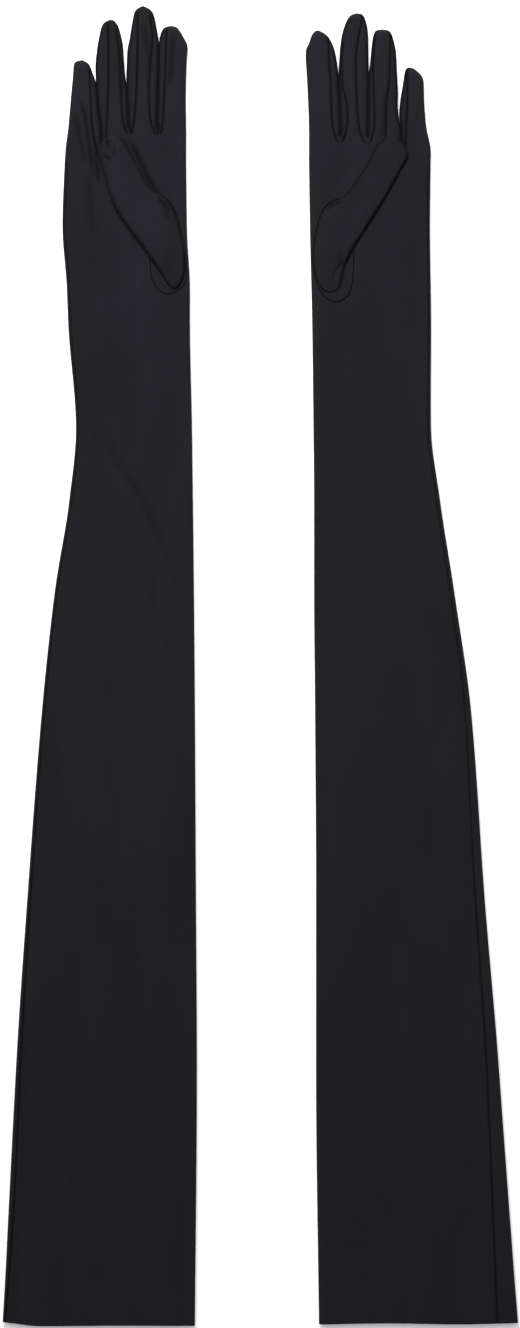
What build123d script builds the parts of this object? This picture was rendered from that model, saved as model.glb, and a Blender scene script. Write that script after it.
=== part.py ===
"""A pair of shoulder-length opera gloves in thin stretch jersey, laid flat with the palms up.

Each glove is cut from one main piece, the trank, folded along the thumb side and closed by one long
seam down the little-finger side. Narrow side strips, the fourchettes, join the two faces of each
finger. A separate thumb is set into an oval hole in the palm and lies folded across it.

The frame: X runs across the pair, Y from the open hems to the fingertips, Z up. The origin is on the
surface that the gloves lie on, under the middle of the pair. The right-hand glove lies at -X and the
left-hand glove at +X. A place on a glove is (u, v): u is measured outwards from its folded edge,
across the glove, and v from its hem towards the fingertips.
"""

import os
from dataclasses import dataclass
from math import cos, radians, sin, tan

from build123d import *

# Cloth and lay, in millimetres
cloth = 0.6  # thickness of the jersey
lay_height = 6.0  # two layers of a glove with the loose air between them
thumb_height = 5.6  # the same for the thumb, which lies on top of the palm
side_round = 2.5  # rounding along folded and seamed sides
inner_round = 1.2  # the same inside the glove
edge_band = side_round + 0.8  # width of the turned strips that join the palm face to the back face
finger_round = 1.2  # rounding along the sides of the fingers and thumb
body_gap = 0.3  # clearance between pieces that move apart

# The trank from the hem to the line where the fingers bend: how far each station is from the one
# before, how wide the flat glove is there, and how far its folded edge lies over in +X
stations = {
    "hem": dict(step=0.0, width=118.5, right=0.0, left=0.0),  # and each glove's own hem_ease
    "upper_arm": dict(step=155.0, width=110.3, right=1.2, left=-1.6),
    "above_elbow": dict(step=109.0, width=101.8, right=1.0, left=-1.7),
    "elbow": dict(step=109.0, width=93.5, right=0.2, left=-2.2),
    "forearm": dict(step=73.0, width=84.5, right=-0.8, left=-3.0),
    "lower_forearm": dict(step=54.0, width=75.5, right=-1.4, left=-3.3),
    "wrist": dict(step=46.0, width=70.8, right=-2.0, left=-3.7),
    "heel_of_hand": dict(step=64.0, width=74.4, right=-3.4, left=-4.6),
    "palm": dict(step=54.0, width=75.0, right=-4.6, left=-5.6),
    "knuckles": dict(step=61.4, right=-5.3, left=-6.0),  # as wide as the four fingers
}
hem_turning = 12.0  # depth of the hem turned up inside
hem_cloth = 0.3  # thickness of the turned layer where it is pressed flat
allowance_width = 4.0  # overlocked seam allowance inside the little-finger side
allowance_height = 1.2

# Fingers, from the folded edge outwards: width at the base and at the tip, and length
finger_gap = 0.8
fingers = {
    "index": dict(width=17.2, tip=16.0, length=62.5),
    "middle": dict(width=16.4, tip=16.4, length=74.6),
    "ring": dict(width=16.0, tip=15.0, length=66.0),
    "little": dict(width=19.7, tip=10.5, length=42.0),
}
tip_round = 4.8
fourchette_width = 4.6  # how far a side strip reaches onto each face at the base of a finger
fourchette_tip = 3.4  # the same near the fingertip
thread_width = 0.7
thread_height = 0.2

# Thumb, placed from the centre of its hole
thumb_hole_u = 11.6  # from the folded edge
thumb_hole_past_wrist = 110.0
thumb_hole_width = 17.6
thumb_hole_length = 62.0
thumb_length = 71.0
thumb_tip_width = 17.0
thumb_tip_round = 7.0
thumb_heel = thumb_hole_length / 2 - 4.0  # hole centre to the heel of the thumb
thumb_crotch_up = thumb_hole_length / 2 + 0.5  # hole centre to the thumb's crotch, along the glove
thumb_crotch_out = 9.5  # the same, across the glove
thumb_start = 0.4  # from the line that the thumb turns on to its nearest cloth
thumb_thread_inset = 3.0  # from the thumb's outer side to its seam


@dataclass(frozen=True)
class Glove:
    """One glove of the pair and the way it happens to lie."""

    name: str
    side: int  # +1 where u runs towards +X
    fold_place: float  # X of the folded edge at the hem
    hem_ease: float  # how much wider than the pattern the hem lies
    lean: dict  # degrees that each finger leans outwards
    crotch: dict  # depth of each finger's outer crotch below the bending line
    thumb_slant: float  # degrees that the thumb leans outwards


gloves = [
    Glove(
        name="right",
        side=-1,
        fold_place=-39.6,
        hem_ease=-2.1,
        lean=dict(index=0.0, middle=0.5, ring=4.0, little=3.0),
        crotch=dict(index=4.2, middle=3.8, ring=18.8),
        thumb_slant=27.0,
    ),
    Glove(
        name="left",
        side=1,
        fold_place=35.4,
        hem_ease=2.1,
        lean=dict(index=-2.5, middle=1.0, ring=0.5, little=-0.5),
        crotch=dict(index=8.4, middle=8.8, ring=17.0),
        thumb_slant=31.0,
    ),
]

# Derived places
stations["knuckles"]["width"] = sum(size["width"] for size in fingers.values()) + finger_gap * 3
station_v = {}
reached = 0.0
for station, size in stations.items():
    reached += size["step"]
    station_v[station] = reached
knuckle_v = station_v["knuckles"]
glove_length = knuckle_v + fingers["middle"]["length"]
knuckle_y = knuckle_v - glove_length / 2
thumb_hole_y = station_v["wrist"] + thumb_hole_past_wrist - glove_length / 2
cavity_height = lay_height - 2 * cloth
thumb_floor = lay_height + body_gap
wide = 6 * stations["hem"]["width"]  # wider than the pair, for cutting across it


def fold_x(glove, v):
    """Where a glove's folded edge lies in X, at a distance v from its hem."""
    names = list(stations)
    for low, high in zip(names, names[1:]):
        if v <= station_v[high]:
            break
    share = min(1.0, (v - station_v[low]) / (station_v[high] - station_v[low]))
    drift = stations[low][glove.name] * (1 - share) + stations[high][glove.name] * share
    return glove.fold_place + drift


def at(glove, u, v):
    """The (x, y) of a place on a glove."""
    return (fold_x(glove, v) + glove.side * u, v - glove_length / 2)


def trank_edge(glove, from_edge):
    """Places down the trank, from the hem to the knuckles, from_edge(width) out from the fold."""
    widths = {name: size["width"] for name, size in stations.items()}
    widths["hem"] += glove.hem_ease
    return [at(glove, from_edge(width), station_v[name]) for name, width in widths.items()]


def finger_start(name):
    """The inner side of a finger's base, counted outwards from the folded edge."""
    before = list(fingers)[: list(fingers).index(name)]
    return sum(fingers[other]["width"] + finger_gap for other in before)


def export(part, name):
    """Write one finished piece."""
    part.label = name
    export_step(part, f"parts/{name}.step")


def sleeve_block(glove, inset, rounding, low, high):
    """The sleeve and palm as a solid block, moved in by inset all round, between two heights v."""
    outer = trank_edge(glove, lambda width: width - inset)
    inner = trank_edge(glove, lambda width: inset)
    with BuildPart() as block:
        with BuildSketch(Plane.XY.offset(inset)):
            with BuildLine():
                Polyline(*outer, *reversed(inner), close=True)
            make_face()
        extrude(amount=lay_height - 2 * inset)
        fillet(block.edges().filter_by(lambda edge: abs(edge.tangent_at(0.5).Y) > 0.5), radius=rounding)
        with BuildSketch():
            with Locations((0, (low + high - glove_length) / 2)):
                Rectangle(wide, high - low)
        extrude(amount=lay_height, mode=Mode.INTERSECT)
    return block.part


def crotch_outline(glove, name, grown):
    """Plan of the slot outside a finger, with a round bottom, grown by a wall all round."""
    u = finger_start(name) + fingers[name]["width"] + finger_gap / 2
    depth = glove.crotch[name]
    with BuildSketch() as slot:
        with Locations(at(glove, u, knuckle_v - depth / 2)):
            Rectangle(finger_gap + 2 * grown, depth)
        with Locations(at(glove, u, knuckle_v - depth)):
            Circle(finger_gap / 2 + grown)
    return slot.sketch


def thumb_hole(glove, grown):
    """Plan of the oval hole that the thumb is set into."""
    with BuildSketch() as hole:
        with Locations(thumb_centre(glove)):
            Ellipse(thumb_hole_width / 2 + grown, thumb_hole_length / 2 + grown)
    return hole.sketch


def thumb_centre(glove):
    """The centre of the thumb's hole, which the line that the thumb turns on passes over."""
    return at(glove, thumb_hole_u, thumb_hole_y + glove_length / 2)


def trank_shell(glove):
    """The whole sleeve and palm: one flat tube, open at the hem and towards the fingers."""
    cavity = sleeve_block(glove, cloth, inner_round, 0, knuckle_v)
    with BuildPart() as shell:
        add(sleeve_block(glove, 0, side_round, 0, knuckle_v - body_gap / 2))
        add(cavity, mode=Mode.SUBTRACT)
        for name in glove.crotch:
            with BuildSketch():
                add(crotch_outline(glove, name, 0))
            extrude(amount=lay_height, mode=Mode.SUBTRACT)
        with BuildSketch(Plane.XY.offset(lay_height / 2)):
            add(thumb_hole(glove, 0))
        extrude(amount=lay_height, mode=Mode.SUBTRACT)
    return shell.part


def trank_band(glove, from_fold, from_side):
    """Plan of a lengthwise band of the sleeve, between two distances from its edges."""
    outer = trank_edge(glove, from_side)
    inner = trank_edge(glove, from_fold)
    with BuildSketch() as band:
        with BuildLine():
            Polyline(*outer, *reversed(inner), close=True)
        make_face()
    return band.sketch


def make_trank(glove):
    """The trank in four lengthwise nodes: its palm and back faces and the two edges that join them."""
    shell = trank_shell(glove)
    faces = trank_band(glove, lambda width: edge_band, lambda width: width - edge_band)
    folded = trank_band(glove, lambda width: -cloth, lambda width: edge_band)
    seamed = trank_band(glove, lambda width: width - edge_band, lambda width: width + cloth)
    for node, band, bottom, top in (
        ("palm_face", faces, lay_height / 2, lay_height),
        ("back_face", faces, 0, lay_height / 2),
        ("folded_edge", folded, 0, lay_height),
        ("seamed_edge", seamed, 0, lay_height),
    ):
        with BuildPart() as piece:
            add(shell)
            with BuildSketch(Plane.XY.offset(bottom)):
                add(band)
            extrude(amount=top - bottom, mode=Mode.INTERSECT)
        export(piece.part, f"{glove.name}_{node}")


def make_hem(glove):
    """The turned-up layer inside the mouth of the sleeve."""
    with BuildPart() as hem:
        add(sleeve_block(glove, cloth, inner_round, 0, hem_turning))
        add(
            sleeve_block(glove, cloth + hem_cloth, inner_round - hem_cloth, 0, hem_turning),
            mode=Mode.SUBTRACT,
        )
    export(hem.part, f"{glove.name}_hem_turning")


def make_side_seam(glove):
    """The overlocked allowance that stands inside the little-finger side, above the hem."""
    outer = trank_edge(glove, lambda width: width - cloth)
    inner = trank_edge(glove, lambda width: width - cloth - allowance_width)
    with BuildPart() as seam:
        with BuildSketch(Plane.XY.offset((lay_height - allowance_height) / 2)):
            with BuildLine():
                Polyline(*outer, *reversed(inner), close=True)
            make_face()
        extrude(amount=allowance_height)
        with BuildSketch():
            with Locations((0, (hem_turning + knuckle_v - glove_length) / 2)):
                Rectangle(wide, knuckle_v - hem_turning - body_gap)
        extrude(amount=lay_height, mode=Mode.INTERSECT)
    export(seam.part, f"{glove.name}_side_seam")


def make_crotches(glove):
    """The bottoms of the fourchettes, each a U that stands between two fingers inside the palm."""
    names = list(fingers)
    for name, neighbour in zip(names, names[1:]):
        with BuildPart() as crotch:
            with BuildSketch(Plane.XY.offset(cloth)):
                add(crotch_outline(glove, name, cloth))
                with Locations(at(glove, 0, knuckle_v)):
                    Rectangle(wide, body_gap, mode=Mode.SUBTRACT)
                add(crotch_outline(glove, name, 0), mode=Mode.SUBTRACT)
            extrude(amount=cavity_height)
        export(crotch.part, f"{glove.name}_{name}_{neighbour}_crotch")


def finger_outline(glove, name, inset):
    """Plan of a finger, moved in by inset at its sides and tip and run on past its base."""
    size = fingers[name]
    start = finger_start(name)
    shift = size["length"] * tan(radians(glove.lean[name]))
    middle = start + size["width"] / 2 + shift
    low = knuckle_v + body_gap / 2 - inset
    high = knuckle_v + size["length"] - inset
    corners = [
        at(glove, start + inset, low),
        at(glove, start + size["width"] - inset, low),
        at(glove, middle + size["tip"] / 2 - inset, high),
        at(glove, middle - size["tip"] / 2 + inset, high),
    ]
    with BuildSketch() as outline:
        with BuildLine():
            Polyline(*corners, close=True)
        make_face()
        fillet(outline.vertices().sort_by(Axis.Y)[-2:], radius=tip_round - inset)
    return outline.sketch


def finger_shell(glove, name):
    """A whole finger: hollow, and open at its base."""
    with BuildPart() as shell:
        with BuildSketch():
            add(finger_outline(glove, name, 0))
        extrude(amount=lay_height)
        level = shell.edges().filter_by(lambda edge: abs(edge.tangent_at(0.5).Z) < 0.5)
        base_y = knuckle_y + body_gap
        fillet(level.filter_by(lambda edge: edge.center().Y > base_y), radius=finger_round)
        with BuildSketch(Plane.XY.offset(cloth)):
            add(finger_outline(glove, name, cloth))
        extrude(amount=cavity_height, mode=Mode.SUBTRACT)
    return shell.part


def strip_line(glove, name, outer_side):
    """The (low, high) ends of the seam between a finger's face and one of its side strips."""
    size = fingers[name]
    start = finger_start(name)
    middle = start + size["width"] / 2 + size["length"] * tan(radians(glove.lean[name]))
    top = knuckle_v + size["length"] - tip_round
    if outer_side:
        low_u = start + size["width"] - fourchette_width
        high_u = middle + size["tip"] / 2 - fourchette_tip
    else:
        low_u = start + fourchette_width
        high_u = middle - size["tip"] / 2 + fourchette_tip
    return (low_u, knuckle_v + body_gap / 2), (high_u, top)


def strip_outline(glove, name, outer_side):
    """Plan of one side strip, run out past the side of the finger."""
    (low_u, low_v), (high_u, high_v) = strip_line(glove, name, outer_side)
    reach = fourchette_width + finger_gap / 4 if outer_side else -fourchette_width - finger_gap / 4
    with BuildSketch() as outline:
        with BuildLine():
            Polyline(
                at(glove, low_u, low_v),
                at(glove, high_u, high_v),
                at(glove, high_u + reach, high_v),
                at(glove, low_u + reach, low_v),
                close=True,
            )
        make_face()
    return outline.sketch


def strip_sides(name):
    """Which sides of a finger have a strip: the index has its fold inside, the little its seam out."""
    return [outer_side for outer_side in (False, True) if name != ("little" if outer_side else "index")]


def make_finger(glove, name):
    """One finger: its two faces, its side strips and the thread along each strip."""
    shell = finger_shell(glove, name)
    names = list(fingers)
    with BuildPart() as stall:
        add(shell)
        for outer_side in strip_sides(name):
            with BuildSketch():
                add(strip_outline(glove, name, outer_side))
            extrude(amount=lay_height, mode=Mode.SUBTRACT)
    export(stall.part, f"{glove.name}_{name}_stall")
    for outer_side in strip_sides(name):
        neighbour = names[names.index(name) + (1 if outer_side else -1)]
        with BuildPart() as fourchette:
            add(shell)
            with BuildSketch():
                add(strip_outline(glove, name, outer_side))
            extrude(amount=lay_height, mode=Mode.INTERSECT)
        export(fourchette.part, f"{glove.name}_{name}_fourchette_by_{neighbour}")
    with BuildPart() as thread:
        with BuildSketch(Plane.XY.offset(lay_height)):
            for outer_side in strip_sides(name):
                (low_u, low_v), (high_u, high_v) = strip_line(glove, name, outer_side)
                half = thread_width / 2
                with BuildLine():
                    Polyline(
                        at(glove, low_u - half, low_v),
                        at(glove, low_u + half, low_v),
                        at(glove, high_u + half, high_v),
                        at(glove, high_u - half, high_v),
                        close=True,
                    )
                make_face()
        extrude(amount=thread_height)
    export(thread.part, f"{glove.name}_{name}_thread")


def thumb_points(glove, past):
    """Corners of the thumb's plan, from its heel round its tip to its crotch."""
    x, y = thumb_centre(glove)
    slant = radians(glove.thumb_slant)
    along, across = (sin(slant), cos(slant)), (cos(slant), -sin(slant))
    half = thumb_tip_width / 2
    tip = [
        (along[0] * thumb_length + sign * across[0] * half, along[1] * thumb_length + sign * across[1] * half)
        for sign in (1, -1)
    ]
    offsets = [
        (thumb_start - past, -thumb_heel),
        (thumb_start + cloth, -thumb_heel),
        *tip,
        (thumb_crotch_out, thumb_crotch_up),
        (thumb_start - past, thumb_crotch_up),
    ]
    return [(x + glove.side * du, y + dv) for du, dv in offsets]


def thumb_outline(glove, past):
    """Plan of the thumb, run on by past over the line that it turns on."""
    points = thumb_points(glove, past)
    with BuildSketch() as outline:
        with BuildLine():
            Polyline(*points, close=True)
        make_face()
        tips = [outline.vertices().sort_by_distance(point)[0] for point in points[2:4]]
        fillet(tips, radius=thumb_tip_round)
    return outline.sketch


def make_thumb(glove):
    """The thumb, its set-in base, and the threads that hold and close it."""
    x, y = thumb_centre(glove)
    with BuildPart() as thumb:
        with BuildSketch(Plane.XY.offset(thumb_floor)):
            add(thumb_outline(glove, 0))
        extrude(amount=thumb_height)
        level = thumb.edges().filter_by(lambda edge: abs(edge.tangent_at(0.5).Z) < 0.5)
        free = level.filter_by(lambda edge: glove.side * (edge.center().X - x) > thumb_start + cloth)
        fillet(free, radius=finger_round)
        with BuildSketch(Plane.XY.offset(thumb_floor + cloth)):
            offset(thumb_outline(glove, 4 * cloth), amount=-cloth, kind=Kind.INTERSECTION)
        extrude(amount=thumb_height - 2 * cloth, mode=Mode.SUBTRACT)
    export(thumb.part, f"{glove.name}_thumb")

    with BuildPart() as base:
        with BuildSketch(Plane.XY.offset(lay_height - cloth)):
            add(thumb_hole(glove, 0))
            with Locations((x + glove.side * thumb_hole_width / 2, y)):
                Rectangle(thumb_hole_width, thumb_hole_length, mode=Mode.SUBTRACT)
        extrude(amount=cloth)
    export(base.part, f"{glove.name}_thumb_base")

    with BuildPart() as hole_thread:
        with BuildSketch(Plane.XY.offset(lay_height)):
            add(thumb_hole(glove, thread_width / 2))
            add(thumb_hole(glove, -thread_width / 2), mode=Mode.SUBTRACT)
        extrude(amount=thread_height)
    export(hole_thread.part, f"{glove.name}_thumb_hole_thread")

    heel, tip = thumb_points(glove, 0)[1:3]
    middle = ((heel[0] + tip[0]) / 2, (heel[1] + tip[1]) / 2)
    run = Vector(tip[0] - heel[0], tip[1] - heel[1])
    inward = Vector(-glove.side * run.Y, glove.side * run.X).normalized() * thumb_thread_inset
    with BuildPart() as seam_thread:
        with BuildSketch(Plane.XY.offset(thumb_floor + thumb_height)):
            with Locations((middle[0] + inward.X, middle[1] + inward.Y)):
                Rectangle(
                    run.length - 2 * (thumb_tip_round + thumb_thread_inset),
                    thread_width,
                    rotation=Vector(1, 0).get_signed_angle(run),
                )
        extrude(amount=thread_height)
    export(seam_thread.part, f"{glove.name}_thumb_thread")


os.makedirs("parts", exist_ok=True)
for glove in gloves:
    make_trank(glove)
    make_hem(glove)
    make_side_seam(glove)
    make_crotches(glove)
    for finger in fingers:
        make_finger(glove, finger)
    make_thumb(glove)
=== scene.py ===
"""A pair of shoulder-length opera gloves in thin black stretch jersey, laid flat with the palms up.

Each glove is a trank folded along the thumb side, fourchettes between the fingers and a thumb set
into an oval hole. Every piece is a flattened tube of cloth between two side curves. Places on a
glove are (u, v) in millimetres: u outwards from the folded edge, v from the hem to the fingertips.
Along the fingers and the thumb, v is counted from the line where the fingers bend.
"""

import logging
import math
from collections.abc import Callable
from dataclasses import dataclass, field
from enum import Enum

import bmesh
import bpy
import numpy as np
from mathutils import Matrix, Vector, noise


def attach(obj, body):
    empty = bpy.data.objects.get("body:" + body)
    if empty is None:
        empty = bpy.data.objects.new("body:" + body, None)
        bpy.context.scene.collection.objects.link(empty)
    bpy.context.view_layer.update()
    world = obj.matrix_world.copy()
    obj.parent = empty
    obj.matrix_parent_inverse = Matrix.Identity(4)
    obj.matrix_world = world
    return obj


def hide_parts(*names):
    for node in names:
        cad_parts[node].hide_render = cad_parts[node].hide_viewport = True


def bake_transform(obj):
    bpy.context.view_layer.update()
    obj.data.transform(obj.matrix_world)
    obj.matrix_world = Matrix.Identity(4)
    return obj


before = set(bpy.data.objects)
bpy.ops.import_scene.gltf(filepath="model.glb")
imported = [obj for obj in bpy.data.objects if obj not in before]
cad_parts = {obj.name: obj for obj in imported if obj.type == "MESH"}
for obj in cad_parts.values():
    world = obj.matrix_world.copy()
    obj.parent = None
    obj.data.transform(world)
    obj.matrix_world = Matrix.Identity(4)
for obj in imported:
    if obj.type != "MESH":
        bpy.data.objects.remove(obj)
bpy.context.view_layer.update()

log = logging.getLogger("opera_gloves")
MM = 0.001
GLOVE_LENGTH = 800.0
BEND_V = 725.4  # the line where the fingers bend
CUT_V = 704.2  # where the fingers' own cloth starts
FLOOR = 0.15  # gap under a glove
WALL = 0.5  # thickness of the jersey
INNER_WALL = 0.4  # of the pieces that lie inside others
SAME = 1e-6  # shorter than this is nothing
MERGE = 0.02  # points closer than this become one
UV_UNIT = 100.0  # millimetres of cloth to one unit of its UVs
Points = list[tuple[float, float]]
Relief = Callable[[np.ndarray], np.ndarray]


class Slot(Enum):
    """The record's finishes."""

    JERSEY = "jersey"
    THREAD = "thread"


# ---------------------------------------------------------------- curves


def smooth_value(stops: Points, x: np.ndarray) -> np.ndarray:
    """A smooth function through stops, without overshoot.

    Args:
        stops: (place, value) pairs in rising order of place.
        x: The places to read it at.

    Returns:
        Its values.
    """
    px, py = (np.array(a, float) for a in zip(*stops))
    run = np.diff(px)
    slope = np.diff(py) / run
    turn = np.zeros(len(px))
    same = slope[1:] * slope[:-1] > 0
    turn[1:-1][same] = 2 * (slope[1:] * slope[:-1])[same] / (slope[1:] + slope[:-1])[same]
    turn[0], turn[-1] = slope[0], slope[-1]
    x = np.clip(np.asarray(x, float), px[0], px[-1])
    k = np.clip(np.searchsorted(px, x) - 1, 0, len(run) - 1)
    t = (x - px[k]) / run[k]
    a = (2 * t**3 - 3 * t**2 + 1) * py[k] + (t**3 - 2 * t**2 + t) * run[k] * turn[k]
    return a + (3 * t**2 - 2 * t**3) * py[k + 1] + (t**3 - t**2) * run[k] * turn[k + 1]


def smoothstep(t: np.ndarray) -> np.ndarray:
    """An ease from 0 to 1.

    Args:
        t: How far along, held to 0 and 1.

    Returns:
        The eased value.
    """
    t = np.clip(t, 0, 1)
    return t * t * (3 - 2 * t)


def falloff(distance: np.ndarray, reach: float) -> np.ndarray:
    """A bell that is 1 at no distance and a third at its reach.

    Args:
        distance: Distances in millimetres.
        reach: The reach in millimetres.

    Returns:
        A value for each distance.
    """
    return np.exp(-((distance / reach) ** 2))


def travelled(points: np.ndarray) -> np.ndarray:
    """The way gone along a line, at each of its points.

    Args:
        points: The line's points.

    Returns:
        A length for each point, 0 at the first.
    """
    return np.concatenate([[0], np.cumsum(np.linalg.norm(np.diff(points, axis=0), axis=1))])


def per_row(value: float | np.ndarray, rows: int) -> np.ndarray:
    """A value, or one for each row, as a column.

    Args:
        value: The value or values.
        rows: The number of rows.

    Returns:
        (rows, 1) values.
    """
    return np.broadcast_to(np.asarray(value, float), rows)[:, None]


class Curve:
    """A smooth plane curve through a few points, read by its share of the whole length."""

    def __init__(self, points: Points, closed: bool = False, fine: int = 12) -> None:
        """Prepare the curve.

        Args:
            points: The points that it passes through.
            closed: Whether it comes back to its first point.
            fine: How many steps stand for each span.
        """
        p = np.array(points, float)
        if closed:
            p = np.vstack([p[-1:], p, p[:2]])
        else:
            p = np.vstack([2 * p[:1] - p[1:2], p, 2 * p[-1:] - p[-2:-1]])
        t = np.linspace(0, 1, fine, endpoint=False)[:, None]
        spans = []
        for a, b, c, d in zip(p, p[1:], p[2:], p[3:]):
            bend, twist = 2 * a - 5 * b + 4 * c - d, 3 * b - a - 3 * c + d
            spans.append(0.5 * (2 * b + (c - a) * t + bend * t**2 + twist * t**3))
        self.dense = np.vstack([*spans, p[-2:-1]])
        self.reach = travelled(self.dense)
        self.length = float(self.reach[-1])

    def at(self, share: np.ndarray) -> np.ndarray:
        """Points at shares of the length.

        Args:
            share: The shares, from 0 to 1.

        Returns:
            The (x, y) points.
        """
        s = np.asarray(share, float) * self.length
        return np.stack([np.interp(s, self.reach, self.dense[:, k]) for k in (0, 1)], axis=-1)


def distance_to(points: np.ndarray, line: np.ndarray, reach: float) -> tuple[np.ndarray, np.ndarray]:
    """Distance from points to a line of short runs.

    Args:
        points: The (x, y) points.
        line: The line's points.
        reach: How far away it still matters.

    Returns:
        The distances, and the share along the line of the nearest place.
    """
    best, share = np.full(len(points), 1e9), np.zeros(len(points))
    gone = travelled(line)
    close = np.flatnonzero(
        ((points > line.min(axis=0) - reach) & (points < line.max(axis=0) + reach)).all(axis=1)
    )
    p, b, s = points[close], best[close], share[close]
    for k, run in enumerate(np.diff(line, axis=0)):
        size = max(float(run @ run), 1e-9)
        t = np.clip(((p - line[k]) @ run) / size, 0, 1)
        d = np.linalg.norm(p - line[k] - t[:, None] * run, axis=1)
        hit = d < b
        b[hit] = d[hit]
        s[hit] = ((gone[k] + t * math.sqrt(size)) / gone[-1])[hit]
    best[close], share[close] = b, s
    return best, share


@dataclass
class Crease:
    """A soft fold in the cloth: a raised or sunk line that fades out at its ends."""

    points: Points
    height: float  # below 0 for a valley
    width: float  # where it has fallen to a third
    dark: float = 0.55  # how dark the painted shade at the bottom of a sharp valley is

    def relief(self, xy: np.ndarray) -> np.ndarray:
        """How much it lifts the cloth at places in the frame.

        Args:
            xy: Places in the frame, in millimetres.

        Returns:
            A lift for each place, below 0 in a valley.
        """
        line = Curve(self.points, fine=6).at(np.linspace(0, 1, 6 * len(self.points)))
        d, s = distance_to(xy, line, 4 * self.width)
        fade = smoothstep(np.minimum(s, 1 - s) * 4)
        return self.height * falloff(d, self.width) * fade


def crease_shade(creases: list[Crease], xy: np.ndarray) -> np.ndarray:
    """Painted shade in the sharp valleys among the cloth's creases, from 0 to 1.

    Args:
        creases: The cloth's creases.
        xy: Places in the frame, in millimetres.

    Returns:
        How dark the painted shade is at each place.
    """
    deep = np.zeros(len(xy))
    for crease in creases:
        if crease.height < 0 and crease.width < 2.5:
            deep = np.maximum(deep, crease.relief(xy) / crease.height * crease.dark)
    return deep


def swells(xy: np.ndarray, across: float, along: float, seed: float) -> np.ndarray:
    """Gentle unevenness of cloth that lies loosely.

    Args:
        xy: Places in millimetres.
        across: Size of the swells in X.
        along: Size of the swells in Y.
        seed: Where in the noise they are taken.

    Returns:
        A value of about -1 to 1 for each place.
    """
    return np.array([noise.noise(Vector((x / across, y / along, seed))) for x, y in xy])


# ---------------------------------------------------------------- flattened tubes of cloth


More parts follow.
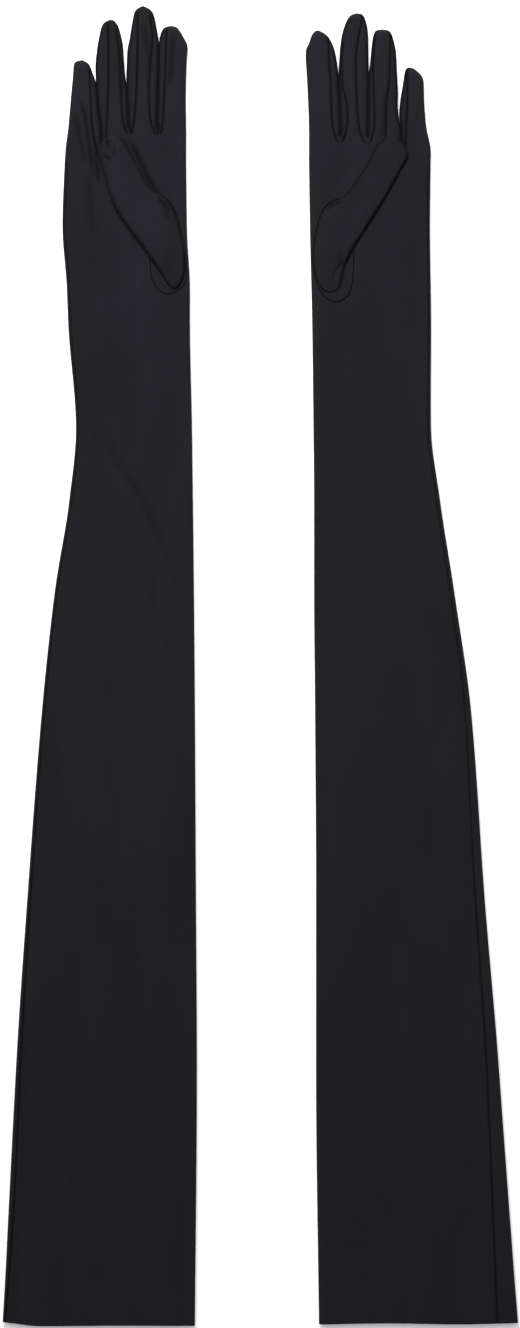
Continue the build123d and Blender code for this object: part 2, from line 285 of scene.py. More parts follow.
@dataclass
class Tube:
    """A flattened tube of cloth between two side curves, laid out as rows and columns."""

    inner: np.ndarray  # (rows, 2) places of its inner side
    outer: np.ndarray
    height: np.ndarray  # of the whole tube, at each row
    inner_round: np.ndarray  # how far each side's rounding reaches in
    outer_round: np.ndarray
    seams: list[np.ndarray] = field(default_factory=list)  # distance of each seam from the inner side
    seam_depth: list[np.ndarray] = field(default_factory=list)  # how deep each seam is pulled in
    spans: tuple[int, ...] = (12,)  # columns between one break and the next
    edge: int = 6  # columns round each side
    under: int = 12  # columns on the underside
    pucker: float = 0.1  # little waves beside a seam
    inner_belly: float | np.ndarray = 0.5  # share of the height that hangs below each side
    outer_belly: float | np.ndarray = 0.5
    inner_open: float | np.ndarray = 1.0  # 0 where the side is still joined to its neighbour
    outer_open: float | np.ndarray = 1.0
    gap_shade: tuple[float, float] = (0.0, 0.0)  # how dark the painted shade in each side's gap is
    inner_soft: float | np.ndarray = 0.0  # 1 where the inner side rises gently, as from a seam
    beside: tuple[float, float] = (1.2, 0.32)  # a column this far from a seam, or this share of the span
    close_by: tuple[float, float] = (0.4, 0.13)
    lip: tuple[float, float] = (1.2, 0.2)  # width of each underside's lip, or its share of the width
    lip_share: float = 0.12  # of the columns under there
    sunk_reach: float = 0.7  # how far from a seam the cloth is pulled in
    line_reach: float = 0.48  # how far from it the painted shade reaches
    pucker_reach: float = 1.7
    pucker_length: float = 3.1
    full_depth: float = 0.3  # a seam this deep gets its full painted shade and puckers
    gap_reach: float = 1.45  # how far in from a side the painted shade of its gap reaches
    low_height: float = 2.0  # below this height seams are shallower
    ground: Relief = lambda xy: np.full(len(xy), FLOOR)
    relief: Relief = lambda xy: np.zeros(len(xy))
    # painted shade in the creases, from 0 to 1, at each place
    shade: Relief = lambda xy: np.zeros(len(xy))

    def __post_init__(self) -> None:
        """Measure the rows."""
        self.width = np.linalg.norm(self.outer - self.inner, axis=1)
        self.marks: list[int] = []  # the seams' columns
        self.top = 0  # how many columns lie on top

    def top_columns(self) -> np.ndarray:
        """Distances of the columns on top from the inner side, with the seams' columns noted.

        Returns:
            (rows, columns) distances.
        """
        inner_edge = np.minimum(self.inner_round, 0.45 * self.width)
        outer_edge = np.minimum(self.outer_round, 0.45 * self.width)
        if self.seams:
            inner_edge = np.minimum(inner_edge, 0.8 * self.seams[0])
            outer_edge = np.minimum(outer_edge, 0.8 * (self.width - self.seams[-1]))
        arc = 1 - np.cos(np.linspace(0, math.pi / 2, self.edge + 1))
        columns = [inner_edge * a for a in arc]
        stops = [inner_edge, *self.seams, self.width - outer_edge]
        for k, count in enumerate(self.spans):
            low, high = stops[k], stops[k + 1]
            beside, by = (np.minimum(d, part * (high - low)) for d, part in (self.beside, self.close_by))
            if k > 0:
                columns += [low + by, low + beside]
            start = columns[-1]
            end = high - beside if k < len(self.seams) else high
            columns += [start + (end - start) * i / count for i in range(1, count + 1)]
            if k < len(self.seams):
                columns += [high - by, high]
                self.marks.append(len(columns) - 1)
        columns += [self.width - outer_edge * a for a in arc[::-1][1:]]
        self.top = len(columns)
        return np.stack(columns, axis=1)

    def under_columns(self) -> np.ndarray:
        """Distances of the columns on the underside, from the outer side back to the inner one.

        Returns:
            (rows, columns) distances.
        """
        width, lip = self.width[:, None], np.minimum(self.lip[0], self.lip[1] * self.width)[:, None]
        share = np.linspace(1, 0, self.under + 1)[1:-1]
        lips = self.lip_share
        inside = lip + (width - 2 * lip) * np.clip((share - lips) / (1 - 2 * lips), 0, 1)
        inside = np.where(share < lips, lip * share / lips, inside)
        return np.where(share > 1 - lips, width - lip * (1 - share) / lips, inside)

    def crown(self, distance: np.ndarray) -> np.ndarray:
        """The share of its full height that the cloth reaches at distances from the inner side.

        Args:
            distance: (rows, columns) distances.

        Returns:
            A share for each of them, from 0 to 1.
        """
        width = self.width[:, None]
        result = np.ones_like(distance)
        rows = len(self.width)
        for d, reach, opened, soft in (
            (distance, self.inner_round, self.inner_open, self.inner_soft),
            (width - distance, self.outer_round, self.outer_open, 0.0),
        ):
            reach = np.maximum(np.minimum(reach[:, None], 0.5 * width), 1e-3)
            share = np.clip(d / reach, 0, 1)
            opened, soft = per_row(opened, rows), per_row(soft, rows)
            curve = np.sqrt(np.clip(1 - (1 - share) ** 2, 0, 1))
            curve = curve * (1 - soft) + soft * (0.25 * curve + 0.75 * smoothstep(share))
            result = np.minimum(result, 1 - opened * (1 - curve))
        return result

    def build(self) -> "Tube":
        """Lay the cloth out, into self.points, self.seam (painted shade in the seams' grooves, the side
        gaps and the creases) and self.lie (UVs).

        Returns:
            The tube itself.
        """
        top = self.top_columns()
        distance = np.hstack([top, self.under_columns()])
        rows, columns = distance.shape
        across = (self.outer - self.inner) / np.maximum(self.width, 1e-6)[:, None]
        xy = self.inner[:, None, :] + across[:, None, :] * distance[:, :, None]
        flat = xy.reshape(-1, 2)
        height = self.height[:, None]
        share = distance / np.maximum(self.width, 1e-6)[:, None]
        belly = per_row(self.inner_belly, rows) * (1 - share) + per_row(self.outer_belly, rows) * share
        along = travelled((self.inner + self.outer) / 2)[:, None]
        self.seam = np.zeros_like(distance)
        sunk = np.zeros_like(distance)
        for k, depth in zip(self.marks, self.seam_depth):
            away = np.abs(distance - distance[:, k : k + 1])
            full = np.minimum(1, depth / self.full_depth)[:, None]
            # painted shade in the seam's groove
            near = falloff(away, self.line_reach) * full
            waves = self.pucker * np.sin(2 * math.pi * along / self.pucker_length + k)
            sunk += depth[:, None] * falloff(away, self.sunk_reach)
            sunk -= waves * falloff(away, self.pucker_reach) * full
            self.seam = np.maximum(self.seam, near)
        # painted shade in the gap along each free side
        for d, dark, opened in (
            (distance, self.gap_shade[0], self.inner_open),
            (self.width[:, None] - distance, self.gap_shade[1], self.outer_open),
        ):
            self.seam = np.maximum(self.seam, dark * per_row(opened, rows) * falloff(d, self.gap_reach))
        # painted shade in the creases
        self.seam = np.maximum(self.seam, self.shade(flat).reshape(rows, columns))
        self.seam[:, self.top :] = 0
        crown = self.crown(distance)
        z_side = self.ground(flat).reshape(rows, columns) + belly * height
        lifted = (1 - belly) * height * crown
        sunk *= np.minimum(1, height / self.low_height)
        lifted += (self.relief(flat).reshape(rows, columns) - sunk) * crown**2
        z = np.where(np.arange(columns) < self.top, z_side + lifted, z_side - belly * height * crown)
        self.points = np.dstack([xy, z])
        self.lie = np.dstack([distance, np.broadcast_to(along, distance.shape)])
        self.lie[:, self.top :, 0] = 2 * self.width[:, None] - distance[:, self.top :]
        return self

    def piece(self, name: str, wanted: np.ndarray | None = None, wall: float = WALL) -> bpy.types.Object:
        """Cut one piece of cloth out of the laid tube and give it its thickness.

        Args:
            name: The piece's name.
            wanted: (rows - 1, columns) flags of the cells to keep, or None for all of them.
            wall: The cloth's thickness.

        Returns:
            The piece, with its faces outwards.
        """
        rows, columns, _ = self.points.shape
        i, j = np.nonzero(np.ones((rows - 1, columns), bool) if wanted is None else wanted)
        quads = cells(i, j, columns)
        if np.cross(self.outer[0] - self.inner[0], self.inner[-1] - self.inner[0]) < 0:
            quads = quads[:, ::-1]
        used, index = np.unique(quads, return_inverse=True)
        lie = self.lie.reshape(-1, 2)[quads.reshape(-1)]
        first = np.flatnonzero(np.repeat(j, 4) == columns - 1)
        turned = first[lie[first, 0] < SAME]
        lie[turned, 0] = 2 * self.width[quads.reshape(-1)[turned] // columns]
        points, seam = self.points.reshape(-1, 3)[used], self.seam.reshape(-1)[used]
        piece = cloth_mesh(name, points, index.reshape(-1, 4).tolist(), seam, lie / UV_UNIT)
        edit = bmesh.new()
        edit.from_mesh(piece.data)
        bmesh.ops.remove_doubles(edit, verts=edit.verts, dist=MERGE * MM)
        edit.to_mesh(piece.data)
        edit.free()
        thicken(piece, wall)
        return piece


def cells(i: np.ndarray, j: np.ndarray, columns: int) -> np.ndarray:
    """The corners of a grid's cells at rows i and columns j, its last column meeting the first.

    Args:
        i: The rows.
        j: The columns.
        columns: The number of columns.

    Returns:
        (cells, 4) numbers of points.
    """
    k = (j + 1) % columns
    return np.stack([i * columns + j, i * columns + k, (i + 1) * columns + k, (i + 1) * columns + j], 1)


def cloth_mesh(
    name: str, points: np.ndarray, faces: list[list[int]], seam: np.ndarray, uv: np.ndarray
) -> bpy.types.Object:
    """Make a sheet of cloth that has no thickness yet.

    Args:
        name: The piece's name.
        points: Its points in millimetres.
        faces: Its faces' corners.
        seam: The painted shade at each point, in the seams' grooves, the gaps and the creases.
        uv: Where each face's corner lies on the cloth, in tenths of a metre.

    Returns:
        The sheet.
    """
    mesh = bpy.data.meshes.new(name)
    mesh.from_pydata((points * MM).tolist(), [], faces)
    # the seam attribute carries painted shade, which the jersey's colour reads
    mesh.attributes.new("seam", "FLOAT", "POINT").data.foreach_set("value", seam.astype(np.float32))
    mesh.uv_layers.new(name="cloth").data.foreach_set("uv", uv.reshape(-1).astype(np.float32))
    piece = bpy.data.objects.new(name, mesh)
    bpy.context.scene.collection.objects.link(piece)
    return piece


def select_only(piece: bpy.types.Object) -> None:
    """Make one object the only selected and active one.

    Args:
        piece: The object.
    """
    bpy.ops.object.select_all(action="DESELECT")
    piece.select_set(True)
    bpy.context.view_layer.objects.active = piece


def thicken(piece: bpy.types.Object, wall: float) -> None:
    """Give a sheet of cloth its thickness, inwards, and smooth its shading.

    Args:
        piece: The sheet.
        wall: The cloth's thickness in millimetres.
    """
    select_only(piece)
    cloth = piece.modifiers.new("cloth", "SOLIDIFY")
    cloth.thickness = wall * MM
    cloth.offset = -1
    bpy.ops.object.modifier_apply(modifier="cloth")
    bpy.ops.object.shade_smooth_by_angle(angle=math.radians(50))


def lay_thread(
    name: str, lines: list[np.ndarray], radius: float, closed: bool = False
) -> bpy.types.Object:
    """Lay a row of thread along lines.

    Args:
        name: The piece's name.
        lines: The (count, 3) points in millimetres of each row of thread.
        radius: The thread's radius in millimetres.
        closed: Whether each line is a ring.

    Returns:
        The thread as a mesh.
    """
    curve = bpy.data.curves.new(name, "CURVE")
    curve.dimensions = "3D"
    curve.bevel_depth = radius * MM
    curve.bevel_resolution = 1
    curve.use_fill_caps = True
    for line in lines:
        spline = curve.splines.new("POLY")
        spline.points.add(len(line) - 1)
        spline.points.foreach_set("co", np.hstack([line * MM, np.ones((len(line), 1))]).reshape(-1))
        spline.use_cyclic_u = closed
    thread = bpy.data.objects.new(name, curve)
    bpy.context.scene.collection.objects.link(thread)
    select_only(thread)
    bpy.ops.object.convert(target="MESH")
    thread = bpy.context.view_layer.objects.active
    thread.name = name
    bpy.ops.object.shade_smooth_by_angle(angle=math.radians(60))
    return thread


# ---------------------------------------------------------------- what each glove measures


@dataclass
class FingerShape:
    """A finger's sides and seams, as (u, v) places with v from the bending line."""

    inner: Points
    outer: Points
    crotch: tuple[float, float]  # v where it comes free of its inner and outer neighbour
    seams: dict[str, Points]  # (v, u) along each seam, by "inner" or "outer"


@dataclass
class ThumbShape:
    """The thumb's two sides from its heel to its tip, and the hole that it is set into."""

    outer: Points
    inner: Points
    hole: Points
    fold_shift: float  # where u is counted from, against the folded edge
    creases: list[Crease]
    height: float = 2.9


@dataclass
class Glove:
    """One glove of the pair: where it lies, how wide it is and how its cloth lies."""

    name: str
    side: int  # +1 where u runs towards +X
    fold: float  # X of the folded edge at the hem
    drift: Points  # (v, X) of the folded edge against its place at the hem
    widths: Points  # (v, width)
    hem_wave: Points  # (share across, how far the hem has ridden up)
    seam_offset: Points  # (v, distance of the side seam from the outer edge)
    fingers: dict[str, FingerShape]
    thumb: ThumbShape
    creases: list[Crease]
    height: Points = field(
        default_factory=lambda: [(0, 4.9), (60, 4.6), (500, 4.4), (CUT_V, 4.5), (760, 4.4)]
    )
    edge_round: float = 2.4

    def fold_x(self, v: np.ndarray) -> np.ndarray:
        """X of the folded edge.

        Args:
            v: Places along the glove.

        Returns:
            An x for each place.
        """
        return self.fold + smooth_value(self.drift, v)

    def place(self, uv: np.ndarray) -> np.ndarray:
        """The (x, y) of places (u, v).

        Args:
            uv: The places.

        Returns:
            The (x, y) places in the frame.
        """
        u, v = np.asarray(uv, float).T
        return np.stack([self.fold_x(v) + self.side * u, v - GLOVE_LENGTH / 2], axis=1)

    def near_bend(self, points: np.ndarray, shift: float = 0.0) -> np.ndarray:
        """The (x, y) of places given with v from the bending line, and u from shift.

        Args:
            points: The (u, v) places.
            shift: How far u is counted from the folded edge.

        Returns:
            The (x, y) places in the frame.
        """
        points = np.asarray(points, float)
        x = self.fold + self.drift[-1][1] + shift + self.side * points[:, 0]
        return np.stack([x, points[:, 1] + BEND_V - GLOVE_LENGTH / 2], axis=1)

    def relief(self, xy: np.ndarray) -> np.ndarray:
        """How far the loose cloth on top stands above or below its smooth shape.

        Args:
            xy: Places in the frame, in millimetres.

        Returns:
            A lift for each place.
        """
        seed = 3.7 * self.side
        lift = 0.17 * swells(xy, 34, 120, seed) + 0.09 * swells(xy, 10, 40, seed + 5)
        lift += 0.05 * swells(xy, 4, 22, seed + 9)
        for crease in self.creases:
            lift += crease.relief(xy)
        return lift

    def shade(self, xy: np.ndarray) -> np.ndarray:
        """Painted shade in the cloth's sharpest creases, from 0 to 1.

        Args:
            xy: Places in the frame, in millimetres.

        Returns:
            How dark the painted shade is at each place.
        """
        return crease_shade(self.creases, xy)

    def surface(self, xy: np.ndarray) -> np.ndarray:
        """Height of the palm at places in the frame.

        Args:
            xy: Places in the frame, in millimetres.

        Returns:
            A height for each place.
        """
        v = xy[:, 1] + GLOVE_LENGTH / 2
        u = self.side * (xy[:, 0] - self.fold_x(v))
        share = np.clip(u / self.edge_round, 0, 1)
        crown = np.sqrt(1 - (1 - share) ** 2)
        height = smooth_value(self.height, v)
        return FLOOR + height * (0.5 + 0.5 * crown) + self.relief(xy) * crown**2


FINGERS = ("index", "middle", "ring", "little")

OUTSIDE = -1000.0  # stands for the side that goes on along the palm's own edge

RIGHT = Glove(
    name="right",
    side=-1,
    fold=-39.7,
    drift=[
        (0, 0), (155, 1.2), (264, 0.6), (373, 0), (446, -0.6), (500, -1.2), (546, -1.8), (610, -3.0),
        (628, -3.0), (664, -4.8), (704.2, -5.3),
    ],
    widths=[
        (0, 116.4), (155, 109.7), (264, 101.8), (373, 92.7), (446, 84.2), (500, 75), (546, 70.3),
        (610, 73.9), (664, 75.4), (704.2, 73.7),
    ],
    hem_wave=[(0, 0.6), (0.4, 0.8), (0.8, 0.5), (1, 3)],
    seam_offset=[(0, 1.6), (40, 2.6), (88, 3.3), (160, 2.8), (320, 1.8), (560, 1.6), (704.2, 1.7)],
    fingers={
        "index": FingerShape(
            inner=[
                (0, -21.2), (0, 0), (0.2, 20), (-0.3, 40), (-0.9, 49.5), (0.8, 54), (5.2, 61),
                (9, 62.5),
            ],
            outer=[
                (18.1, -21.2), (17.9, -4.2), (17.7, 0), (17.3, 14), (16.9, 30), (16.6, 42), (16.4, 51),
                (15.8, 55.5), (14.6, 59.2), (12.8, 61.5), (9, 62.5),
            ],
            crotch=(OUTSIDE, -4.2),
            seams={"outer": [
                (-4.2, 17.9), (-1.8, 14.8), (5.5, 13.9), (23.6, 13), (41.8, 12.4), (58, 11.8),
            ]},
        ),
        "middle": FingerShape(
            inner=[
                (18.1, -21.2), (17.9, -4.2), (17.7, 0), (17.3, 14), (16.9, 30), (16.6, 42), (16.6, 51),
                (17.2, 56), (18, 60.5), (19.7, 68.5), (22.2, 72.4), (26.4, 74.6),
            ],
            outer=[
                (34.2, -21.2), (34.2, -3.6), (34.6, 0), (35.2, 11.5), (36, 28.5), (35.8, 39.4),
                (35.4, 48), (34.2, 54), (32.4, 65), (30.6, 71.6), (26.4, 74.6),
            ],
            crotch=(-4.2, -3.6),
            seams={
                "inner": [
                    (-4.2, 17.9), (-2.4, 19.1), (2.4, 20.9), (11.5, 22.1), (23.6, 22.4), (38.8, 21.5),
                    (55, 20.3), (66, 21.5),
                ],
                "outer": [(-3.6, 34.2), (-0.6, 32.4), (8.5, 30.9), (23.6, 30), (48, 29.4), (68, 29.4)],
            },
        ),
        "ring": FingerShape(
            inner=[
                (34.2, -21.2), (34.2, -3.6), (34.8, 2), (35.2, 11.5), (35.7, 20), (36.1, 26),
                (37.2, 33), (37.9, 42), (38.5, 50.5), (39.7, 56.5), (41.5, 62.4), (44, 65.6),
                (46.4, 66.2),
            ],
            outer=[
                (50.5, -21.2), (50.6, -18.8), (51.5, 0), (52.6, 8), (53.8, 20), (54.8, 35.8),
                (54.2, 45), (53.3, 51.5), (51.8, 59), (50, 63.8), (46.4, 66.2),
            ],
            crotch=(-3.6, -18.8),
            seams={
                "inner": [
                    (-3.6, 34.2), (-2.4, 36.1), (2.4, 37.9), (11.5, 38.8), (23.6, 39.4), (41, 40),
                    (56, 42),
                ],
                "outer": [(-18.8, 50.6), (-0.6, 48.2), (11.5, 47.6), (30, 47), (48, 47), (62, 47.4)],
            },
        ),
        "little": FingerShape(
            inner=[
                (50.5, -21.2), (50.6, -18.8), (51.6, 0), (52.7, 8), (53.8, 20), (54.6, 27), (55.8, 31),
                (57, 34), (58, 37), (59.5, 39.6), (63, 41.8),
            ],
            outer=[
                (73.7, -21.2), (73, -11.5), (71.5, 0), (70.6, 10.3), (69.4, 23.6), (68.6, 32),
                (68.2, 38), (67, 40.6), (63, 41.8),
            ],
            crotch=(-18.8, OUTSIDE),
            seams={"inner": [
                (-18.8, 50.6), (-17.6, 52.4), (-3.6, 56.1), (8.5, 57.3), (23.6, 57.9), (35.8, 58.5),
            ]},
        ),
    },
    thumb=ThumbShape(
        outer=[
            (7.6, -96.4), (10.9, -92.5), (14.1, -87.2), (18, -81.3), (24.6, -72.1), (32.2, -62),
            (38.2, -53.6), (42.5, -46.1), (45.4, -38.2), (48.4, -28), (50.6, -20), (51.2, -14.5),
            (50.2, -9.6), (47.6, -6.6), (43.9, -5.2),
        ],
        inner=[
            (7.6, -96.4), (5.2, -96.6), (2.6, -93.6), (0.5, -88), (0, -80.6), (0.6, -72), (2.8, -61.2),
            (5.2, -53.3), (8.5, -46.4), (12.4, -41.8), (16.9, -39.6), (20.9, -37), (23, -34), (27, -26),
            (31.8, -17), (36.5, -8.6), (40, -5.6), (43.9, -5.2),
        ],
        hole=[
            (16.2, -39.8), (9.4, -43.9), (6, -50), (3.3, -58.2), (1.3, -68.2), (-0.2, -76), (-0.7, -84),
            (-0.9, -91), (1.9, -95.9), (6, -99.2), (10, -100.2), (14.8, -98.5), (18.2, -94.9),
            (20.2, -89.2), (20.9, -83.1), (21.6, -70), (21.6, -56), (20, -44),
        ],
        fold_shift=-0.8,
        creases=[
            Crease([(-93, 318.5), (-92.1, 316), (-91.5, 312.4)], -1.0, 0.9, 0.8),
            Crease([(-95.6, 312), (-92.6, 309.4), (-90, 307.4)], 0.8, 0.9),
            Crease([(-95, 308.6), (-92, 306.4), (-89.4, 305.6)], -0.7, 0.9, 0.6),
            Crease([(-94.6, 316.5), (-94, 313.5), (-93, 311)], 0.5, 1.0),
            Crease([(-88.6, 314), (-88, 310), (-88.8, 306.5)], -0.5, 1.2, 0.4),
            Crease([(-63.8, 285.6), (-60.2, 281.6), (-57, 276.4), (-56.8, 268)], -0.9, 1.5, 0.7),
            Crease([(-61, 286.6), (-57.6, 282.6), (-54.2, 278)], 0.5, 1.5),
            Crease([(-62, 268), (-58, 250), (-57, 236)], 0.5, 4),
            Crease([(-67.5, 246.5), (-62.6, 239), (-58.4, 232.4), (-54, 227)], -0.9, 1.1, 0.95),
        ],
    ),
    creases=[
        Crease([
            (-101.3, 165), (-96.6, 136.4), (-87.2, 119.1), (-76.9, 105), (-68.3, 86.1), (-58.9, 65.7),
            (-51, 30),
        ], -1.5, 3.4),
        Crease([(-94, 160), (-84, 128), (-68, 103), (-56, 78), (-48, 44)], 0.9, 5),
        Crease([
            (-71.4, 79.8), (-64.4, 54.6), (-63.6, 31.1), (-60.4, 16.9), (-55.7, 1.2), (-51, -17.7),
            (-49.4, -40),
        ], -1.1, 2.7),
        Crease([
            (-110, 345), (-106.4, 332.9), (-104, 318), (-102.3, 304), (-101.6, 294),
        ], -1.1, 1.2, 0.7),
        Crease([(-113.5, 338), (-110.7, 326.4), (-107.5, 311.5), (-106, 300)], -0.7, 1.3, 0.45),
        Crease([(-101.5, 322), (-99.4, 313.6), (-98.6, 300), (-97.3, 287.9)], -0.9, 1.2, 0.6),
        Crease([(-108, 336), (-104.2, 322), (-101.7, 308), (-99.8, 294)], 0.6, 1.4),
        Crease([(-104, 300), (-103, 280), (-100, 255)], -0.8, 2.4, 0.3),
        Crease([(-90, 264), (-86, 244), (-82, 215)], -0.8, 3.2),
        Crease([
            (-80.8, 320), (-76.7, 313), (-72.1, 303.8), (-67.6, 294.6), (-62.9, 286.7), (-57, 283),
        ], -0.9, 1.7, 0.75),
        Crease([(-101.9, 248), (-99, 234), (-95, 215)], -0.9, 2.7),
        Crease([(-76.6, 258), (-75.6, 244), (-75.8, 228)], -0.8, 2.6),
        Crease([(-62.8, 320.6), (-61.6, 325), (-62.2, 330)], -0.8, 1.0, 0.9),
        Crease([(-79.9, 329), (-79, 325), (-77.2, 321.4)], -0.8, 1.0, 0.9),
        Crease([(-52.2, 384), (-53.4, 370), (-54.8, 348)], -0.9, 1.8, 0.5),
        Crease([(-72.4, 391), (-69.1, 377.7), (-67.1, 367.2), (-66.5, 354)], -0.9, 1.8, 0.45),
        Crease([(-85, 382), (-84.2, 362), (-83.4, 340)], -0.9, 1.6, 0.5),
        Crease([(-140.6, -195), (-141.5, -290), (-146, -396), (-147.5, -440)], -1.1, 4),
        Crease([(-50, -290), (-47, -350), (-45.5, -394), (-45, -440)], -0.8, 3.6),
    ],
)

LEFT = Glove(
    name="left",
    side=1,
    fold=35.4,
    drift=[
        (0, 0), (155, -1.8), (264, -1.8), (373, -2.4), (446, -3), (500, -3), (546, -3.4), (610, -4.2),
        (664, -5.5), (704.2, -6.1),
    ],
    widths=[
        (0, 120.6), (155, 110.9), (264, 101.8), (373, 94.5), (446, 84.8), (500, 76.4), (546, 71.2),
        (610, 72.1), (664, 72.7), (704.2, 73.7),
    ],
    hem_wave=[(0, 1.5), (0.35, 2.2), (0.7, 1.6), (1, 2.4)],
    seam_offset=[
        (0, 12.5), (72, 10), (154, 7.5), (236, 6), (310, 5), (428, 2.7), (560, 1.9), (670, 1.5),
        (704.2, 1.6),
    ],
    fingers={
        "index": FingerShape(
            inner=[
                (0, -21.2), (0, 0), (-0.5, 15), (-1.3, 32), (-2, 42), (-1.7, 48), (-0.3, 51), (1.4, 56),
                (3.5, 59), (5.8, 59.8),
            ],
            outer=[
                (18.8, -21.2), (18.9, -8.5), (19.2, 0), (18.9, 11.5), (18.2, 26), (17.4, 35.8),
                (16.5, 42), (15.6, 46.7), (14.4, 50.4), (12, 55), (9.5, 57.6), (5.8, 59.8),
            ],
            crotch=(OUTSIDE, -8.5),
            seams={"outer": [
                (-8.5, 18.9), (-5.5, 16.2), (2.4, 14.4), (11.5, 13.8), (29.7, 13.2), (41.8, 12.2),
                (51, 12.0),
            ]},
        ),
        "middle": FingerShape(
            inner=[
                (18.8, -21.2), (18.9, -8.5), (19.2, 0), (18.9, 11.5), (18.3, 26), (18.1, 34),
                (18.5, 41), (19.2, 50.3), (20.4, 57.6), (22.8, 64.8), (25.3, 68.6), (28.9, 70.2),
            ],
            outer=[
                (35.6, -21.2), (35.6, -8.8), (35.8, 0), (35.9, 11.5), (36.2, 30), (35.9, 42),
                (35.6, 57.6), (34.4, 64.8), (32.5, 69), (28.9, 70.2),
            ],
            crotch=(-8.5, -8.8),
            seams={
                "inner": [
                    (-8.8, 18.9), (-6.7, 21), (-1.8, 22.8), (5.5, 23.5), (14.5, 22.8), (26.7, 20.4),
                    (41.8, 19.9), (50, 20.6),
                ],
                "outer": [
                    (-8.8, 35.6), (-7.3, 33.1), (-0.6, 30.7), (11.5, 29.5), (23.6, 28.9), (41.8, 28.6),
                    (51, 29.5), (60, 31.3), (66, 32.5),
                ],
            },
        ),
        "ring": FingerShape(
            inner=[
                (35.6, -21.2), (35.6, -8.8), (35.9, 0), (35.9, 11.5), (36.2, 28), (36.4, 33),
                (37.3, 40), (38.2, 50.3), (39.2, 56.4), (40.6, 59.4), (44.5, 60.4),
            ],
            outer=[
                (56.8, -21.2), (56.8, -17), (55.6, 0), (54.4, 6), (53.6, 15), (53.8, 22), (53.1, 36),
                (52.5, 46.7), (51.3, 52.7), (49.8, 57.6), (48, 59.6), (44.5, 60.4),
            ],
            crotch=(-8.8, -17),
            seams={
                "inner": [
                    (-8.8, 35.6), (-6.7, 38), (-0.6, 39.5), (8.5, 39.8), (23.6, 39.2), (41.8, 38.9),
                    (52, 39.8),
                ],
                "outer": [
                    (-17, 56.8), (-12, 50), (-4.8, 46.5), (14.5, 47.1), (30, 48.9), (41.8, 49.2),
                    (55, 49.5),
                ],
            },
        ),
        "little": FingerShape(
            inner=[
                (56.8, -21.2), (56.8, -17), (55.7, 0), (54.8, 8), (55.6, 17.6), (56.8, 25), (57.7, 31),
                (58.2, 34.5), (59.4, 36.8), (61.4, 37.4),
            ],
            outer=[
                (73.7, -21.2), (73.7, -11.5), (71.3, 0), (70.4, 8.5), (69.8, 17.6), (69.5, 28.5),
                (68.3, 32), (65.9, 34.6), (64, 36.2), (61.4, 37.4),
            ],
            crotch=(-17, OUTSIDE),
            seams={"inner": [
                (-17, 56.8), (-15, 58), (-6.7, 58.6), (5.5, 59.2), (17.6, 59.8), (32.7, 59.6),
            ]},
        ),
    },
    thumb=ThumbShape(
        outer=[
            (13.2, -98.8), (17.6, -97), (19.6, -90), (21, -82.5), (25.2, -74.2), (30.7, -65.4),
            (37.4, -55.1), (44.1, -44.2), (49.5, -35.1), (54.9, -24.8), (58.6, -18.8), (59.3, -16),
            (58, -12.6), (56.2, -9.7), (53.1, -6.7), (49.5, -5.8),
        ],
        inner=[
            (13.2, -98.8), (9.2, -98.6), (5.8, -94.5), (3.5, -87.5), (2.6, -79), (2.8, -72),
            (3.6, -66.7), (5.3, -58.3), (7.1, -52.1), (10.4, -47.3), (14.3, -44.6), (18.5, -42.6),
            (21.8, -40.2), (26.7, -33.9), (32.9, -24.8), (37.1, -17.3), (39.1, -12.4), (42, -8.9),
            (46.2, -6.2), (49.5, -5.8),
        ],
        hole=[
            (19.7, -42.8), (14.1, -43.9), (10, -46.7), (6.5, -52.1), (4.7, -58.3), (3, -66.7),
            (2, -75.7), (2.3, -84.1), (4.4, -93.1), (7.5, -100.1), (11.4, -103.6), (15.5, -104.9),
            (19.7, -103.9), (23.9, -100.1), (25.6, -94.5), (26.5, -86.1), (26.6, -77), (26.2, -64),
            (25, -50),
        ],
        fold_shift=0.4,
        creases=[
            Crease([(37.9, 272.6), (40.6, 277), (45, 279.4), (51, 281.4)], -0.8, 1.1, 0.7),
            Crease([(38.6, 271), (42, 275.4), (47, 277.6)], 0.5, 1.2),
            Crease([(48.8, 252.6), (48.4, 243), (46, 234)], -0.5, 2.0, 0.35),
            Crease([(42.2, 227), (44, 233), (46.7, 238.6), (51.5, 245.5)], -1.1, 0.9, 1.0),
            Crease([(49, 227), (49.8, 235), (51.2, 242.5), (55, 249.5)], -1.1, 1.0, 1.0),
            Crease([(45.6, 228), (47.2, 235), (50.4, 242)], 0.6, 1.1),
            Crease([(74, 296), (66, 280), (57, 262)], 0.5, 4),
        ],
        height=2.1,
    ),
    creases=[
        Crease([(112, 300), (113, 240), (112, 170)], 0.4, 8),
        Crease([(49.8, 326), (48.4, 322.4), (46.4, 320.4)], -0.8, 1.0, 0.9),
        Crease([(43, 287), (50, 297), (57, 307)], -0.5, 4),
        Crease([(38.4, 364), (38.7, 350), (39, 336)], -0.35, 3),
        Crease([(54.4, 370), (55.6, 346), (57.6, 320)], 0.9, 1.5),
        Crease([(65.2, 366), (65.7, 350), (66.4, 326)], -0.9, 1.6, 0.5),
        Crease([(74.4, 354), (73.2, 338), (72, 318)], 0.9, 1.6),
        Crease([(95.8, 360), (94.6, 345), (92.6, 324)], 0.9, 1.5),
        Crease([(60, -120), (100, -180), (140, -260)], 0.4, 14),
    ],
)



